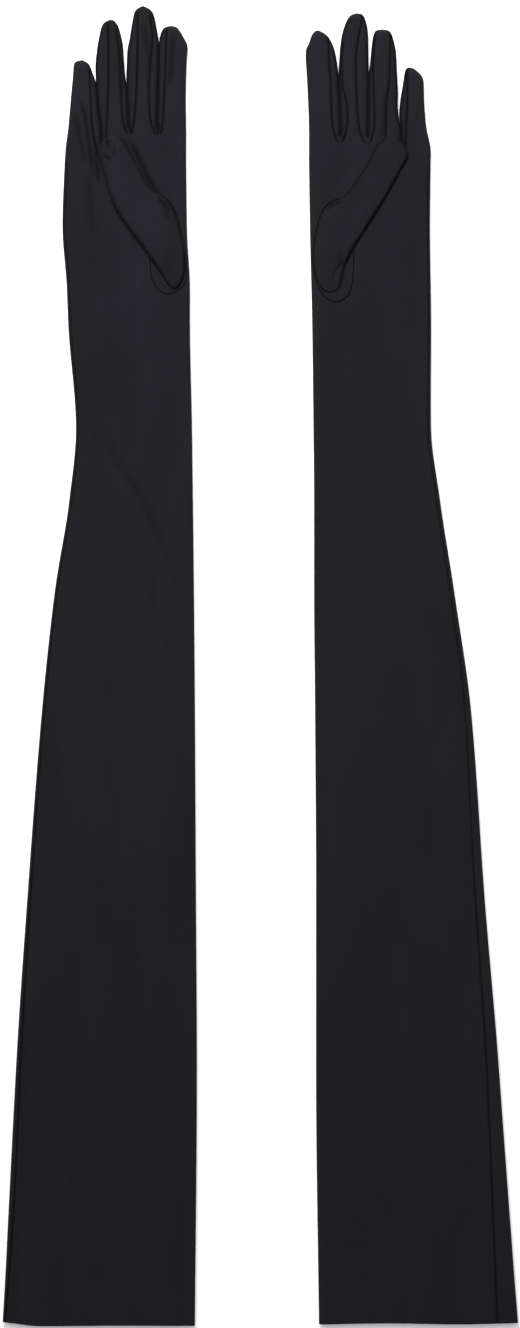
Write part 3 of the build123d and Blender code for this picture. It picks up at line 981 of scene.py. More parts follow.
@dataclass
class Sleeve:
    """The sleeve and palm: the trank, its turned-up hem and its side seam."""

    glove: Glove
    long_rows: float = 3.2
    short_rows: float = 1.6
    short_from: float = 560.0
    hem_depth: float = 12.0
    hem_inset: float = 0.55  # how far the turned layer lies inside the outer one
    ride_height: float = 30.0  # how far up the hem's unevenness reaches
    allowance: float = 4.0
    allowance_height: float = 1.1
    allowance_lift: float = 1.6  # above the underside
    seam_depth: Points = field(
        default_factory=lambda: [(0, 0.6), (150, 0.5), (320, 0.24), (704.2, 0.2)]
    )

    def build(self) -> list[bpy.types.Object]:
        """Make the pieces.

        Returns:
            The trank, the hem turning and the side seam.
        """
        glove = self.glove
        sleeve = np.arange(0, self.short_from, self.long_rows)
        v = np.concatenate([sleeve, np.arange(self.short_from, CUT_V, self.short_rows), [CUT_V]])
        width = smooth_value(glove.widths, v)
        seam = width - smooth_value(glove.seam_offset, v)
        reach = np.full(len(v), glove.edge_round)
        tube = Tube(
            glove.place(np.stack([0 * v, v], 1)),
            glove.place(np.stack([width, v], 1)),
            smooth_value(glove.height, v),
            reach,
            reach,
            seams=[seam],
            seam_depth=[smooth_value(self.seam_depth, v)],
            spans=(64, 5),
            under=26,
            relief=glove.relief,
            # painted shade in the creases
            shade=glove.shade,
        ).build()
        self.ride_up(tube)
        trank = tube.piece(f"{glove.name}_trank")
        nodes = ("palm_face", "back_face", "folded_edge", "seamed_edge")
        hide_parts(*(f"{glove.name}_{node}" for node in nodes))
        return [trank, self.build_hem(), self.build_side_seam()]

    def ride_up(self, tube: Tube) -> None:
        """Let the hem lie a little unevenly.

        Args:
            tube: The laid tube, whose points are moved.
        """
        share = tube.lie[:, :, 0] / tube.width[:, None]
        share = np.where(share > 1, 2 - share, share)
        wave = smooth_value(self.glove.hem_wave, share.reshape(-1)).reshape(share.shape)
        fade = smoothstep(1 - (tube.points[:, :, 1] + GLOVE_LENGTH / 2) / self.ride_height)
        tube.points[:, :, 1] += wave * fade

    def build_hem(self) -> bpy.types.Object:
        """The layer turned up inside the mouth of the sleeve.

        Returns:
            The turned layer.
        """
        glove, inset = self.glove, self.hem_inset
        v = np.linspace(0.05, self.hem_depth, 9)
        width = smooth_value(glove.widths, v)
        reach = np.full(len(v), glove.edge_round - inset)
        height = smooth_value(glove.height, v) - 2 * inset
        tube = Tube(
            glove.place(np.stack([0 * v + inset, v], 1)),
            glove.place(np.stack([width - inset, v], 1)),
            height,
            reach,
            reach,
            spans=(40,),
            under=26,
            ground=lambda xy: np.full(len(xy), FLOOR + inset),
            relief=lambda xy: glove.relief(xy) - 0.05,
        ).build()
        self.ride_up(tube)
        hem = tube.piece(f"{glove.name}_hem_turned", wall=INNER_WALL)
        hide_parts(f"{glove.name}_hem_turning")
        return hem

    def build_side_seam(self) -> bpy.types.Object:
        """The overlocked allowance inside the sleeve, a narrow folded strip.

        Returns:
            The strip.
        """
        glove = self.glove
        v = np.linspace(self.hem_depth + 1, CUT_V - 4, 170)
        width = smooth_value(glove.widths, v)
        outer = width - WALL - 0.4
        height = np.full(len(v), self.allowance_height)
        reach = np.full(len(v), 0.5)
        wave = 0.15 * np.sin(v * 2.2)
        strip = Tube(
            glove.place(np.stack([outer - self.allowance + wave, v], 1)),
            glove.place(np.stack([outer, v], 1)),
            height,
            reach,
            reach,
            spans=(4,),
            edge=3,
            under=5,
            ground=lambda xy: np.full(len(xy), FLOOR + self.allowance_lift),
        ).build()
        piece = strip.piece(f"{glove.name}_seam_allowance", wall=0.3)
        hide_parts(f"{glove.name}_side_seam")
        return piece


@dataclass
class Finger:
    """One finger: its two faces, its fourchettes and the thread along them."""

    glove: Glove
    name: str
    free_round: float = 4.4  # rounding along the sides of the free finger
    free_over: float = 16.0  # how far above the crotch it takes to become round
    tip_round: float = 4.6
    web: float = 1.6  # how far above the bottom of its crotch a finger comes free
    press: float = 0.2  # how far neighbours press into each other
    foot_share: float = 0.36  # up to this share of its length the rows lie closest
    tip_share: float = 0.86  # and from here on they close up again
    joined_round: float = 1.6  # rounding of a side that is still joined to its neighbour
    seam_depth: float = 1.2
    thread: float = 0.24

    def build(self) -> list[bpy.types.Object]:
        """Make the finger's pieces.

        Returns:
            The stall, the fourchettes and the thread.
        """
        glove, shape = self.glove, self.glove.fingers[self.name]
        inner_curve, outer_curve = Curve(shape.inner), Curve(shape.outer)
        foot = np.linspace(0, self.foot_share, 50)[:-1]
        shaft = np.linspace(self.foot_share, self.tip_share, 44)
        tip_rows = 1 - (1 - self.tip_share) * (1 - np.linspace(0, 1, 20)[1:]) ** 1.5
        share = np.concatenate([foot, shaft, tip_rows])
        inner, outer = inner_curve.at(share), outer_curve.at(share)
        tip = shape.inner[-1][1]
        width = np.linalg.norm(outer - inner, axis=1)
        middle = (inner[:, 1] + outer[:, 1]) / 2
        close = np.clip((tip - middle) / self.tip_round, 0, 1)
        height = smooth_value(glove.height, middle + BEND_V) * (1 - 0.1 * smoothstep(middle / tip))
        height = height * np.sqrt(1 - (1 - close) ** 2)
        rounds, opened = [], []
        for side, crotch in ((inner, shape.crotch[0]), (outer, shape.crotch[1])):
            if crotch == OUTSIDE:
                reach = smoothstep((side[:, 1] + 15) / 30)
                reach = glove.edge_round + (self.free_round - glove.edge_round) * reach
                opened.append(np.ones(len(side)))
            else:
                start = crotch + self.web
                reach = smoothstep((side[:, 1] - start) / self.free_over)
                reach = self.joined_round + (self.free_round - self.joined_round) * reach
                opened.append(smoothstep((side[:, 1] - start) / 3))
            rounds.append(reach)
        seams, depths, ends = self.seam_distances(inner, outer, width)
        across = (outer - inner) / np.maximum(width, 1e-6)[:, None]
        push = [close * self.press * o * (c != OUTSIDE) for o, c in zip(opened, shape.crotch)]
        inner, outer = inner - across * push[0][:, None], outer + across * push[1][:, None]
        seams = [d + push[0] for d in seams]
        tube = Tube(
            glove.near_bend(inner),
            glove.near_bend(outer),
            height,
            *rounds,
            seams=seams,
            seam_depth=depths,
            spans=self.spans(),
            edge=5,
            under=12,
            inner_open=opened[0],
            outer_open=opened[1],
            # painted shade in the gaps to the neighbouring fingers
            gap_shade=(float(shape.crotch[0] != OUTSIDE), float(shape.crotch[1] != OUTSIDE)),
            relief=glove.relief,
            # painted shade in the creases
            shade=glove.shade,
        ).build()
        return self.cut(tube, ends)

    def spans(self) -> tuple[int, ...]:
        """How many columns lie between one seam and the next, across the finger.

        Returns:
            A count for each span.
        """
        seams = self.glove.fingers[self.name].seams
        if len(seams) == 2:
            return (6, 11, 6)
        return (6, 14) if "inner" in seams else (14, 6)

    def seam_distances(
        self, inner: np.ndarray, outer: np.ndarray, width: np.ndarray
    ) -> tuple[list[np.ndarray], list[np.ndarray], dict[str, tuple[int, int]]]:
        """Where each seam crosses the rows.

        Args:
            inner: The inner side's places.
            outer: The outer side's places.
            width: Each row's width.

        Returns:
            The seams' distances from the inner side, their depths, and the rows that each runs over.
        """
        distances, depths, ends = [], [], {}
        for which, line in self.glove.fingers[self.name].seams.items():
            d = np.full(len(width), 0.5) * width
            for _ in range(4):
                share = d / np.maximum(width, 1e-6)
                v = inner[:, 1] * (1 - share) + outer[:, 1] * share
                u = self.seam_place(line, v)
                room = np.maximum(outer[:, 0] - inner[:, 0], SAME)
                d = np.clip((u - inner[:, 0]) / room, 0, 1) * width
            low, high = line[0][0], line[-1][0]
            below, above = np.flatnonzero(v < low), np.flatnonzero(v > high)
            d[below] = 1e-4 if which == "inner" else width[below] - 1e-4
            if len(above):
                at = above[0] - 1
                d[above] = d[at] / width[at] * width[above]
            depth = self.seam_depth * smoothstep((v - low) / 2) * (1 - smoothstep((v - high + 1) / 5))
            distances.append(np.clip(d, 1e-4, width - 1e-4))
            depths.append(depth)
            ends[which] = (len(below), above[0] if len(above) else len(width) - 1)
        return distances, depths, ends

    def seam_place(self, line: Points, v: np.ndarray) -> np.ndarray:
        """The u of a seam at each v, with a round bottom below its second stop.

        Args:
            line: The seam's (v, u) stops.
            v: Where to read it.

        Returns:
            The u at each v.
        """
        (low, foot), (high, side) = line[:2]
        share = np.clip((v - low) / (high - low), 0, 1)
        rounded = foot + (side - foot) * np.sqrt(1 - (1 - share) ** 2)
        return np.where(share < 1, rounded, smooth_value(line, v))

    def bottom(self, which: str, first: np.ndarray) -> np.ndarray:
        """The (x, y) of the round bottom of the U, from the crotch up to the seam.

        Args:
            which: The side of the finger, "inner" or "outer".
            first: The (x, y) at which the seam goes on.

        Returns:
            (count, 2) places.
        """
        v, u = self.glove.fingers[self.name].seams[which][0]
        foot = self.glove.near_bend(np.array([[u, v]]))[0]
        turn = np.linspace(0, math.pi / 2, 8)[:-1]
        return foot + (first - foot) * np.stack([np.sin(turn), 1 - np.cos(turn)], 1)

    def cut(self, tube: Tube, ends: dict[str, tuple[int, int]]) -> list[bpy.types.Object]:
        """Cut the finger's pieces out of its laid tube.

        Args:
            tube: The laid finger.
            ends: The rows that each seam runs over.

        Returns:
            The stall, the fourchettes and the thread.
        """
        glove, prefix = self.glove, f"{self.glove.name}_{self.name}"
        rows, columns, _ = tube.points.shape
        stall = np.ones((rows - 1, columns), bool)
        pieces = []
        place = FINGERS.index(self.name)
        beneath = 3
        for mark, (which, (low, high)) in zip(tube.marks, ends.items()):
            strip = np.zeros_like(stall)
            if which == "inner":
                strip[low:high, :mark] = strip[low:high, columns - beneath :] = True
            else:
                strip[low:high, mark : tube.top + beneath - 1] = True
            stall &= ~strip
            neighbour = FINGERS[place + (1 if which == "outer" else -1)]
            piece = tube.piece(f"{prefix}_side_by_{neighbour}", strip)
            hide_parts(f"{prefix}_fourchette_by_{neighbour}")
            pieces.append(piece)
        face = tube.piece(f"{prefix}_faces", stall)
        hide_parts(f"{prefix}_stall")
        lines = []
        for mark, (which, (low, high)) in zip(tube.marks, ends.items()):
            line = tube.points[low + 3 : high, mark]
            plan = self.bottom(which, line[0, :2])
            bottom = np.column_stack([plan, glove.surface(plan)])
            lines.append(np.vstack([bottom, line]) + (0, 0, -0.2 * self.thread))
        thread = lay_thread(f"{prefix}_stitches", lines, self.thread)
        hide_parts(f"{prefix}_thread")
        return [face, *pieces, thread]


@dataclass
class Crotches:
    """The joined bottoms of the fourchettes, each a U standing between two fingers."""

    glove: Glove
    reach: float = 5.0  # how far up each leg stands
    gap: float = 0.9
    low: float = 0.9
    high: float = 3.3
    dark: float = 0.6  # how dark the painted shade on it is, down between the fingers

    def build(self) -> list[bpy.types.Object]:
        """Make the three of them.

        Returns:
            The three joins.
        """
        pieces = []
        for name, neighbour in zip(FINGERS, FINGERS[1:]):
            shape = self.glove.fingers[name]
            line = np.array(shape.seams["outer"][0])[::-1]
            base = np.array([line[0], shape.crotch[1]])
            turn = np.linspace(0, math.pi, 9)
            bottom = np.stack([-np.cos(turn), -np.sin(turn)], 1) * self.gap / 2
            leg = np.linspace(self.reach, 0, 6)[:-1]
            legs = [np.stack([np.full(5, sign * self.gap / 2), leg], 1) for sign in (-1, 1)]
            plan = base + np.vstack([legs[0], bottom, legs[1][::-1]])
            xy = self.glove.near_bend(plan)
            levels = np.linspace(self.low, self.high, 5)
            points = np.stack([np.column_stack([xy, np.full(len(xy), z)]) for z in levels])
            between = f"{self.glove.name}_{name}_{neighbour}"
            pieces.append(self.strip(f"{between}_join", points, f"{between}_crotch"))
        return pieces

    def strip(self, name: str, points: np.ndarray, node: str) -> bpy.types.Object:
        """One standing strip of cloth through rows of points.

        Args:
            name: The piece's name.
            points: (rows, columns, 3) points in millimetres.
            node: The node it stands for.

        Returns:
            The strip.
        """
        rows, columns, _ = points.shape
        i, j = (a.reshape(-1) for a in np.mgrid[0 : rows - 1, 0 : columns - 1])
        quads = cells(i, j, columns)
        uv = np.stack([j, i], 1).astype(float)
        corners = np.stack([uv, uv + (1, 0), uv + (1, 1), uv + (0, 1)], 1)
        if self.glove.side < 0:
            quads, corners = quads[:, ::-1], corners[:, ::-1]
        # painted shade: the whole strip is dark, as shade down between the fingers
        mask = np.full(rows * columns, self.dark)
        piece = cloth_mesh(name, points.reshape(-1, 3), quads.tolist(), mask, corners / UV_UNIT)
        thicken(piece, INNER_WALL)
        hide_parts(node)
        return piece


@dataclass
class Thumb:
    """The thumb lying across the palm, the patch of its base in the oval hole, and their seams."""

    glove: Glove
    patch_lift: float = 0.55
    edge_round: float = 1.9  # rounding along the free thumb
    heel_rise: float = 34.0  # how far from its heel the thumb reaches its full height
    thread: float = 0.24
    tip_round: float = 6.0
    seam_round: float = 9.0  # rounding where it rises from its seam with the palm
    belly: float = 0.42  # share of its height that hangs below its free sides
    clear: float = 0.2  # gap between it and the patch
    patch_dark: float = 0.6  # how dark the painted shade on the patch is beside its seam

    def build(self) -> list[bpy.types.Object]:
        """Make the thumb's pieces.

        Returns:
            The base, the thread round the hole, the thumb and the thread along it.
        """
        glove, shape = self.glove, self.glove.thumb
        outer = Curve(shape.outer)
        inner = Curve(shape.inner)
        base = np.linspace(0, 1, 96)
        share = np.where(base < 0.5, 0.5 * (2 * base) ** 1.25, 1 - 0.5 * (2 - 2 * base) ** 1.35)
        a, b = outer.at(share), inner.at(share)
        tip_gap = (1 - share) * (outer.length + inner.length) / 2
        close = np.sqrt(1 - (1 - np.clip(tip_gap / self.tip_round, 0, 1)) ** 2)
        start = np.clip(share * outer.length / self.heel_rise, 0, 1)
        height = shape.height * close * (0.12 + 0.88 * smoothstep(start)) * np.clip(share * 40, 0.02, 1)
        crotch_v = max(v for _, v in shape.hole)
        free = smoothstep((b[:, 1] - crotch_v + 8) / 14)
        inner_round = self.seam_round + (self.edge_round - self.seam_round) * free
        outer_round = np.full(len(a), self.edge_round)
        tube = Tube(
            glove.near_bend(b, shape.fold_shift),
            glove.near_bend(a, shape.fold_shift),
            height,
            inner_round,
            outer_round,
            spans=(24,),
            edge=7,
            under=14,
            inner_soft=1 - free,
            # painted shadow along both sides of the thumb, darker along the inner one
            gap_shade=(0.9, 0.45),
            inner_belly=self.belly * free,
            outer_belly=self.belly * smoothstep(share * 5),
            ground=lambda xy: self.patch_height(xy) + self.clear,
            relief=self.relief,
            # painted shade in the thumb's creases
            shade=lambda xy: crease_shade(shape.creases, xy),
        ).build()
        thumb = tube.piece(f"{glove.name}_thumb_tube")
        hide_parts(f"{glove.name}_thumb")
        line = tube.points[4:92, tube.top - 1]
        stitches = lay_thread(f"{glove.name}_thumb_stitches", [line], self.thread * 0.8)
        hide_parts(f"{glove.name}_thumb_thread")
        return [*self.build_base(), thumb, stitches]

    def relief(self, xy: np.ndarray) -> np.ndarray:
        """The thumb's own slack.

        Args:
            xy: Places in the frame, in millimetres.

        Returns:
            A lift for each place.
        """
        lift = 0.22 * swells(xy, 9, 9, 21.5 * self.glove.side) + 0.1 * swells(xy, 4, 4, 8.1)
        for crease in self.glove.thumb.creases:
            lift += crease.relief(xy)
        return lift

    def patch_height(self, xy: np.ndarray) -> np.ndarray:
        """Height of the palm with the patch of the thumb's base on it.

        Args:
            xy: Places in the frame, in millimetres.

        Returns:
            A height for each place.
        """
        ring = Curve(self.glove.thumb.hole, closed=True).dense
        ring = self.glove.near_bend(ring, self.glove.thumb.fold_shift)
        centre = ring.mean(axis=0)
        away = xy - centre
        angle = np.arctan2(ring[:, 1] - centre[1], ring[:, 0] - centre[0])
        radius = np.linalg.norm(ring - centre, axis=1)
        order = np.argsort(angle)
        towards = np.arctan2(away[:, 1], away[:, 0])
        edge = np.interp(towards, angle[order], radius[order], period=2 * math.pi)
        share = np.clip(np.linalg.norm(away, axis=1) / edge, 0, 1)
        return self.glove.surface(xy) + self.patch_lift * np.sqrt(1 - share**6)

    def build_base(self) -> list[bpy.types.Object]:
        """The patch in the hole and the ring of thread round it.

        Returns:
            The patch and the ring of thread.
        """
        glove, shape = self.glove, self.glove.thumb
        hole_line = Curve(shape.hole, closed=True).at(np.linspace(0, 1, 97)[:-1])
        ring = glove.near_bend(hole_line, shape.fold_shift)
        centre = ring.mean(axis=0)
        steps = 1 - (1 - np.linspace(0, 1, 27)) ** 1.6
        points, columns = [], len(ring)
        for step in steps[::-1][:-1]:
            xy = centre + (ring - centre) * step
            z = self.patch_height(xy)
            pucker = 0.12 * np.sin(np.arange(columns) * 2 * math.pi * 30 / columns)
            pucker *= math.exp(-(((1 - step) / 0.12) ** 2))
            z += np.minimum(sum(crease.relief(xy) for crease in shape.creases), 0.15)
            points.append(np.column_stack([xy, z + pucker * (step < 0.999)]))
        grid = np.array(points)
        rows = len(grid)
        i, j = (a.reshape(-1) for a in np.mgrid[0 : rows - 1, 0:columns])
        quads = cells(i, j, columns)
        end, tip = (rows - 1) * columns, rows * columns
        faces = quads.tolist() + [[end + n, end + (n + 1) % columns, tip] for n in range(columns)]
        if np.cross(ring[0] - centre, ring[1] - centre) < 0:
            faces = [face[::-1] for face in faces]
        top = np.append(centre, self.patch_height(centre[None]))
        vertices = np.vstack([grid.reshape(-1, 3), top])
        # painted shade: in the creases, full on the ring along the hole's seam, partial on the row just
        # inside it
        mask = crease_shade(shape.creases, vertices[:, :2])
        mask[:columns] = 1
        mask[columns : 2 * columns] = self.patch_dark
        uv = vertices[np.concatenate(faces), :2] / UV_UNIT
        patch = cloth_mesh(f"{glove.name}_thumb_patch", vertices, faces, mask, uv)
        thicken(patch, INNER_WALL)
        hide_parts(f"{glove.name}_thumb_base")
        line = np.column_stack([ring, glove.surface(ring) + 0.22])
        hole = lay_thread(f"{glove.name}_thumb_hole_stitches", [line], self.thread, closed=True)
        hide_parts(f"{glove.name}_thumb_hole_thread")
        return [patch, hole]


# ---------------------------------------------------------------- finishes


@dataclass(frozen=True)
class JerseyFinish:
    """Fine stretch jersey: knitted loops, a soft sheen, lint, and painted shade between the loops and in
    the seams, gaps and creases.
    """

    colour: tuple[float, float, float] = (0.0120, 0.0114, 0.0150)
    lighter: tuple[float, float, float] = (0.0143, 0.0135, 0.0177)
    # painted shade, between the loops and in the seams, gaps and creases
    shade_colour: tuple[float, float, float] = (0.0012, 0.0011, 0.0015)
    lint: tuple[float, float, float] = (0.035, 0.035, 0.04)
    roughness: float = 0.82
    loops: float = 130.0  # knitted loops across 100 mm

    def material(self, name: str) -> bpy.types.Material:
        """The jersey's material.

        Args:
            name: The material's name.

        Returns:
            The material.
        """
        material, nodes, shader = new_material(name)
        links = material.node_tree.links
        uv = nodes.new("ShaderNodeUVMap")
        uv.uv_map = "cloth"
        knit = nodes.new("ShaderNodeGroup")
        knit.node_tree = knit_group()
        knit.inputs["Loops"].default_value = self.loops
        links.new(uv.outputs["UV"], knit.inputs["Place"])
        place = nodes.new("ShaderNodeTexCoord").outputs["Object"]
        cloudy = add_node(nodes, "TexNoise", {"Scale": 60.0, "Detail": 6.0})
        lengthwise = add_node(nodes, "Mapping", {"Scale": (1.0, 0.22, 1.0)})
        links.new(place, lengthwise.inputs["Vector"])
        links.new(lengthwise.outputs["Vector"], cloudy.inputs["Vector"])
        links.new(self.colours(material, knit, cloudy, place), shader.inputs["Base Color"])
        limits = {"To Min": self.roughness - 0.08, "To Max": self.roughness + 0.08}
        rough = add_node(nodes, "MapRange", limits)
        links.new(cloudy.outputs["Fac"], rough.inputs["Value"])
        links.new(rough.outputs["Result"], shader.inputs["Roughness"])
        bump = add_node(nodes, "Bump", {"Strength": 0.5, "Distance": 0.0003})
        links.new(knit.outputs["Height"], bump.inputs["Height"])
        slack = add_node(nodes, "TexNoise", {"Scale": 260.0, "Detail": 3.0})
        links.new(place, slack.inputs["Vector"])
        soft = add_node(nodes, "Bump", {"Strength": 0.35, "Distance": 0.0004})
        links.new(slack.outputs["Fac"], soft.inputs["Height"])
        links.new(bump.outputs["Normal"], soft.inputs["Normal"])
        links.new(soft.outputs["Normal"], shader.inputs["Normal"])
        shader.inputs["Specular IOR Level"].default_value = 0.035
        shader.inputs["Sheen Weight"].default_value = 0.04
        shader.inputs["Sheen Roughness"].default_value = 0.45
        shader.inputs["Sheen Tint"].default_value = (0.62, 0.6, 0.72, 1)
        return material

    def colours(
        self,
        material: bpy.types.Material,
        knit: bpy.types.Node,
        cloudy: bpy.types.Node,
        place: bpy.types.NodeSocket,
    ) -> bpy.types.NodeSocket:
        """The jersey's colour with painted shade between the loops and in the seams, gaps and creases,
        and with lint on it.

        Args:
            material: The jersey's material.
            knit: Its knitted loops.
            cloudy: The slow change of its colour.
            place: Places on the piece.

        Returns:
            The colour's socket.
        """
        nodes, links = material.node_tree.nodes, material.node_tree.links
        base = mix_colours(material, self.colour, self.lighter)
        spread = add_node(nodes, "MapRange", {"From Min": 0.35, "From Max": 0.7})
        links.new(cloudy.outputs["Fac"], spread.inputs["Value"])
        links.new(spread.outputs["Result"], base.inputs["Factor"])
        # painted shade between the knitted loops
        loop_shade = mix_colours(material, None, self.shade_colour, base)
        links.new(times(material, knit.outputs["Gap"], 0.3), loop_shade.inputs["Factor"])
        # painted shade from the seam attribute: in the seams' grooves, the gaps and the creases
        seam = nodes.new("ShaderNodeAttribute")
        seam.attribute_name = "seam"
        painted_shade_mix = mix_colours(material, None, self.shade_colour, loop_shade)
        links.new(times(material, seam.outputs["Fac"], 0.95), painted_shade_mix.inputs["Factor"])
        lint = nodes.new("ShaderNodeGroup")
        lint.node_tree = lint_group()
        lint.inputs["Scale"].default_value = 420.0
        lint.inputs["Amount"].default_value = 0.02
        links.new(place, lint.inputs["Place"])
        dusted = mix_colours(material, None, self.lint, painted_shade_mix)
        links.new(lint.outputs["Speck"], dusted.inputs["Factor"])
        return dusted.outputs[2]


@dataclass(frozen=True)
class ThreadFinish:
    """Twisted black sewing thread."""

    colour: tuple[float, float, float] = (0.0015, 0.0015, 0.002)
    lighter: tuple[float, float, float] = (0.005, 0.005, 0.0065)

    def material(self, name: str) -> bpy.types.Material:
        """The thread's material.

        Args:
            name: The material's name.

        Returns:
            The material.
        """
        material, nodes, shader = new_material(name)
        links = material.node_tree.links
        place = nodes.new("ShaderNodeTexCoord")
        twist = add_node(nodes, "TexWave", {"Scale": 700.0})
        twist.bands_direction = "DIAGONAL"
        links.new(place.outputs["Object"], twist.inputs["Vector"])
        base = mix_colours(material, self.colour, self.lighter)
        links.new(twist.outputs["Fac"], base.inputs["Factor"])
        links.new(base.outputs[2], shader.inputs["Base Color"])
        bump = add_node(nodes, "Bump", {"Strength": 0.6, "Distance": 0.0001})
        links.new(twist.outputs["Fac"], bump.inputs["Height"])
        links.new(bump.outputs["Normal"], shader.inputs["Normal"])
        shader.inputs["Roughness"].default_value = 0.9
        shader.inputs["Specular IOR Level"].default_value = 0.03
        return material


def new_material(name: str) -> tuple[bpy.types.Material, bpy.types.Nodes, bpy.types.Node]:
    """A material with its nodes and its shader.

    Args:
        name: The material's name.

    Returns:
        The material, its nodes and its Principled shader.
    """
    material = bpy.data.materials.new(name)
    material.use_nodes = True
    return material, material.node_tree.nodes, material.node_tree.nodes["Principled BSDF"]


def add_node(
    nodes: bpy.types.Nodes, kind: str, values: dict[str, float | tuple[float, ...]]
) -> bpy.types.Node:
    """A new shader node with values on its inputs.

    Args:
        nodes: Where it goes.
        kind: Its type, without the leading ShaderNode.
        values: A value for each input, by name.

    Returns:
        The node.
    """
    node = nodes.new(f"ShaderNode{kind}")
    for socket, value in values.items():
        node.inputs[socket].default_value = value
    return node


def times(
    material: bpy.types.Material, socket: bpy.types.NodeSocket, factor: float
) -> bpy.types.NodeSocket:
    """A socket's value times a factor.

    Args:
        material: The material it is in.
        socket: The socket.
        factor: The factor.

    Returns:
        The product's socket.
    """
    node = material.node_tree.nodes.new("ShaderNodeMath")
    node.operation = "MULTIPLY"
    node.inputs[1].default_value = factor
    material.node_tree.links.new(socket, node.inputs[0])
    return node.outputs[0]


def mix_colours(
    material: bpy.types.Material,
    low: tuple[float, float, float] | None,
    high: tuple[float, float, float],
    source: bpy.types.Node | None = None,
) -> bpy.types.Node:
    """A node that goes from a colour, or from another such node, to a second colour.

    Args:
        material: The material it is in.
        low: The first colour, or None.
        high: The second colour.
        source: The node that the first colour comes from, or None.

    Returns:
        The node, its factor still to be linked.
    """
    node = material.node_tree.nodes.new("ShaderNodeMix")
    node.data_type = "RGBA"
    if source is not None:
        material.node_tree.links.new(source.outputs[2], node.inputs[6])
    elif low is not None:
        node.inputs[6].default_value = (*low, 1)
    node.inputs[7].default_value = (*high, 1)
    return node


def new_group(name: str, inputs: dict[str, str], outputs: dict[str, str]) -> bpy.types.NodeTree:
    """A shader node group with named sockets.

    Args:
        name: The group's name.
        inputs: The type of each input, by name.
        outputs: The type of each output, by name.

    Returns:
        The group, with its input and output nodes in place.
    """
    group = bpy.data.node_groups.new(name, "ShaderNodeTree")
    for sockets, way in ((inputs, "INPUT"), (outputs, "OUTPUT")):
        for socket, kind in sockets.items():
            group.interface.new_socket(name=socket, in_out=way, socket_type=kind)
    group.nodes.new("NodeGroupInput")
    group.nodes.new("NodeGroupOutput")
    return group


class Maths:
    """Chains of arithmetic nodes in a group."""

    def __init__(self, tree: bpy.types.NodeTree) -> None:
        """Work in one node tree.

        Args:
            tree: The node tree.
        """
        self.tree = tree

    def __call__(self, operation: str, *values: bpy.types.NodeSocket | float) -> bpy.types.NodeSocket:
        """The result of one operation on sockets and numbers.

        Args:
            operation: The operation's name.
            values: What it works on.

        Returns:
            The result's socket.
        """
        node = self.tree.nodes.new("ShaderNodeMath")
        node.operation = operation
        for socket, value in zip(node.inputs, values):
            if isinstance(value, bpy.types.NodeSocket):
                self.tree.links.new(value, socket)
            else:
                socket.default_value = value
        return node.outputs[0]


def knit_group() -> bpy.types.NodeTree:
    """Columns of knitted loops, shared by every piece of jersey.

    Returns:
        The group, with the height of the loops and the gaps between them.
    """
    if "Knitted loops" in bpy.data.node_groups:
        return bpy.data.node_groups["Knitted loops"]
    group = new_group(
        "Knitted loops",
        {"Place": "NodeSocketVector", "Loops": "NodeSocketFloat"},
        {"Height": "NodeSocketFloat", "Gap": "NodeSocketFloat"},
    )
    given, result = group.nodes["Group Input"], group.nodes["Group Output"]
    split = group.nodes.new("ShaderNodeSeparateXYZ")
    group.links.new(given.outputs["Place"], split.inputs[0])
    maths = Maths(group)
    across = maths("MULTIPLY", split.outputs["X"], given.outputs["Loops"])
    along = maths("MULTIPLY", maths("MULTIPLY", split.outputs["Y"], given.outputs["Loops"]), 1.35)
    from_middle = maths("ABSOLUTE", maths("SUBTRACT", maths("FRACT", across), 0.5))
    phase = maths("ADD", along, maths("MULTIPLY", from_middle, 1.1))
    loop = maths("MULTIPLY_ADD", maths("SINE", maths("MULTIPLY", phase, 2 * math.pi)), 0.5, 0.5)
    wale = maths("SUBTRACT", 1.0, maths("POWER", maths("MULTIPLY", from_middle, 2.0), 3.0))
    height = maths("MULTIPLY", maths("MULTIPLY_ADD", loop, 0.6, 0.4), wale)
    group.links.new(height, result.inputs["Height"])
    group.links.new(maths("SUBTRACT", 1.0, height), result.inputs["Gap"])
    return group


def lint_group() -> bpy.types.NodeTree:
    """Scattered specks of lint, shared by every piece of jersey.

    Returns:
        The group, with the strength of the specks.
    """
    if "Lint" in bpy.data.node_groups:
        return bpy.data.node_groups["Lint"]
    group = new_group(
        "Lint",
        {"Place": "NodeSocketVector", "Scale": "NodeSocketFloat", "Amount": "NodeSocketFloat"},
        {"Speck": "NodeSocketFloat"},
    )
    given, result = group.nodes["Group Input"], group.nodes["Group Output"]
    cells = group.nodes.new("ShaderNodeTexVoronoi")
    group.links.new(given.outputs["Place"], cells.inputs["Vector"])
    group.links.new(given.outputs["Scale"], cells.inputs["Scale"])
    split = group.nodes.new("ShaderNodeSeparateColor")
    group.links.new(cells.outputs["Color"], split.inputs[0])
    maths = Maths(group)
    chosen = maths("LESS_THAN", split.outputs[0], given.outputs["Amount"])
    near = maths("LESS_THAN", cells.outputs["Distance"], 0.14)
    strength = maths("MULTIPLY_ADD", split.outputs[1], 0.5, 0.15)
    group.links.new(maths("MULTIPLY", maths("MULTIPLY", chosen, near), strength), result.inputs["Speck"])
    return group


# ---------------------------------------------------------------- the room


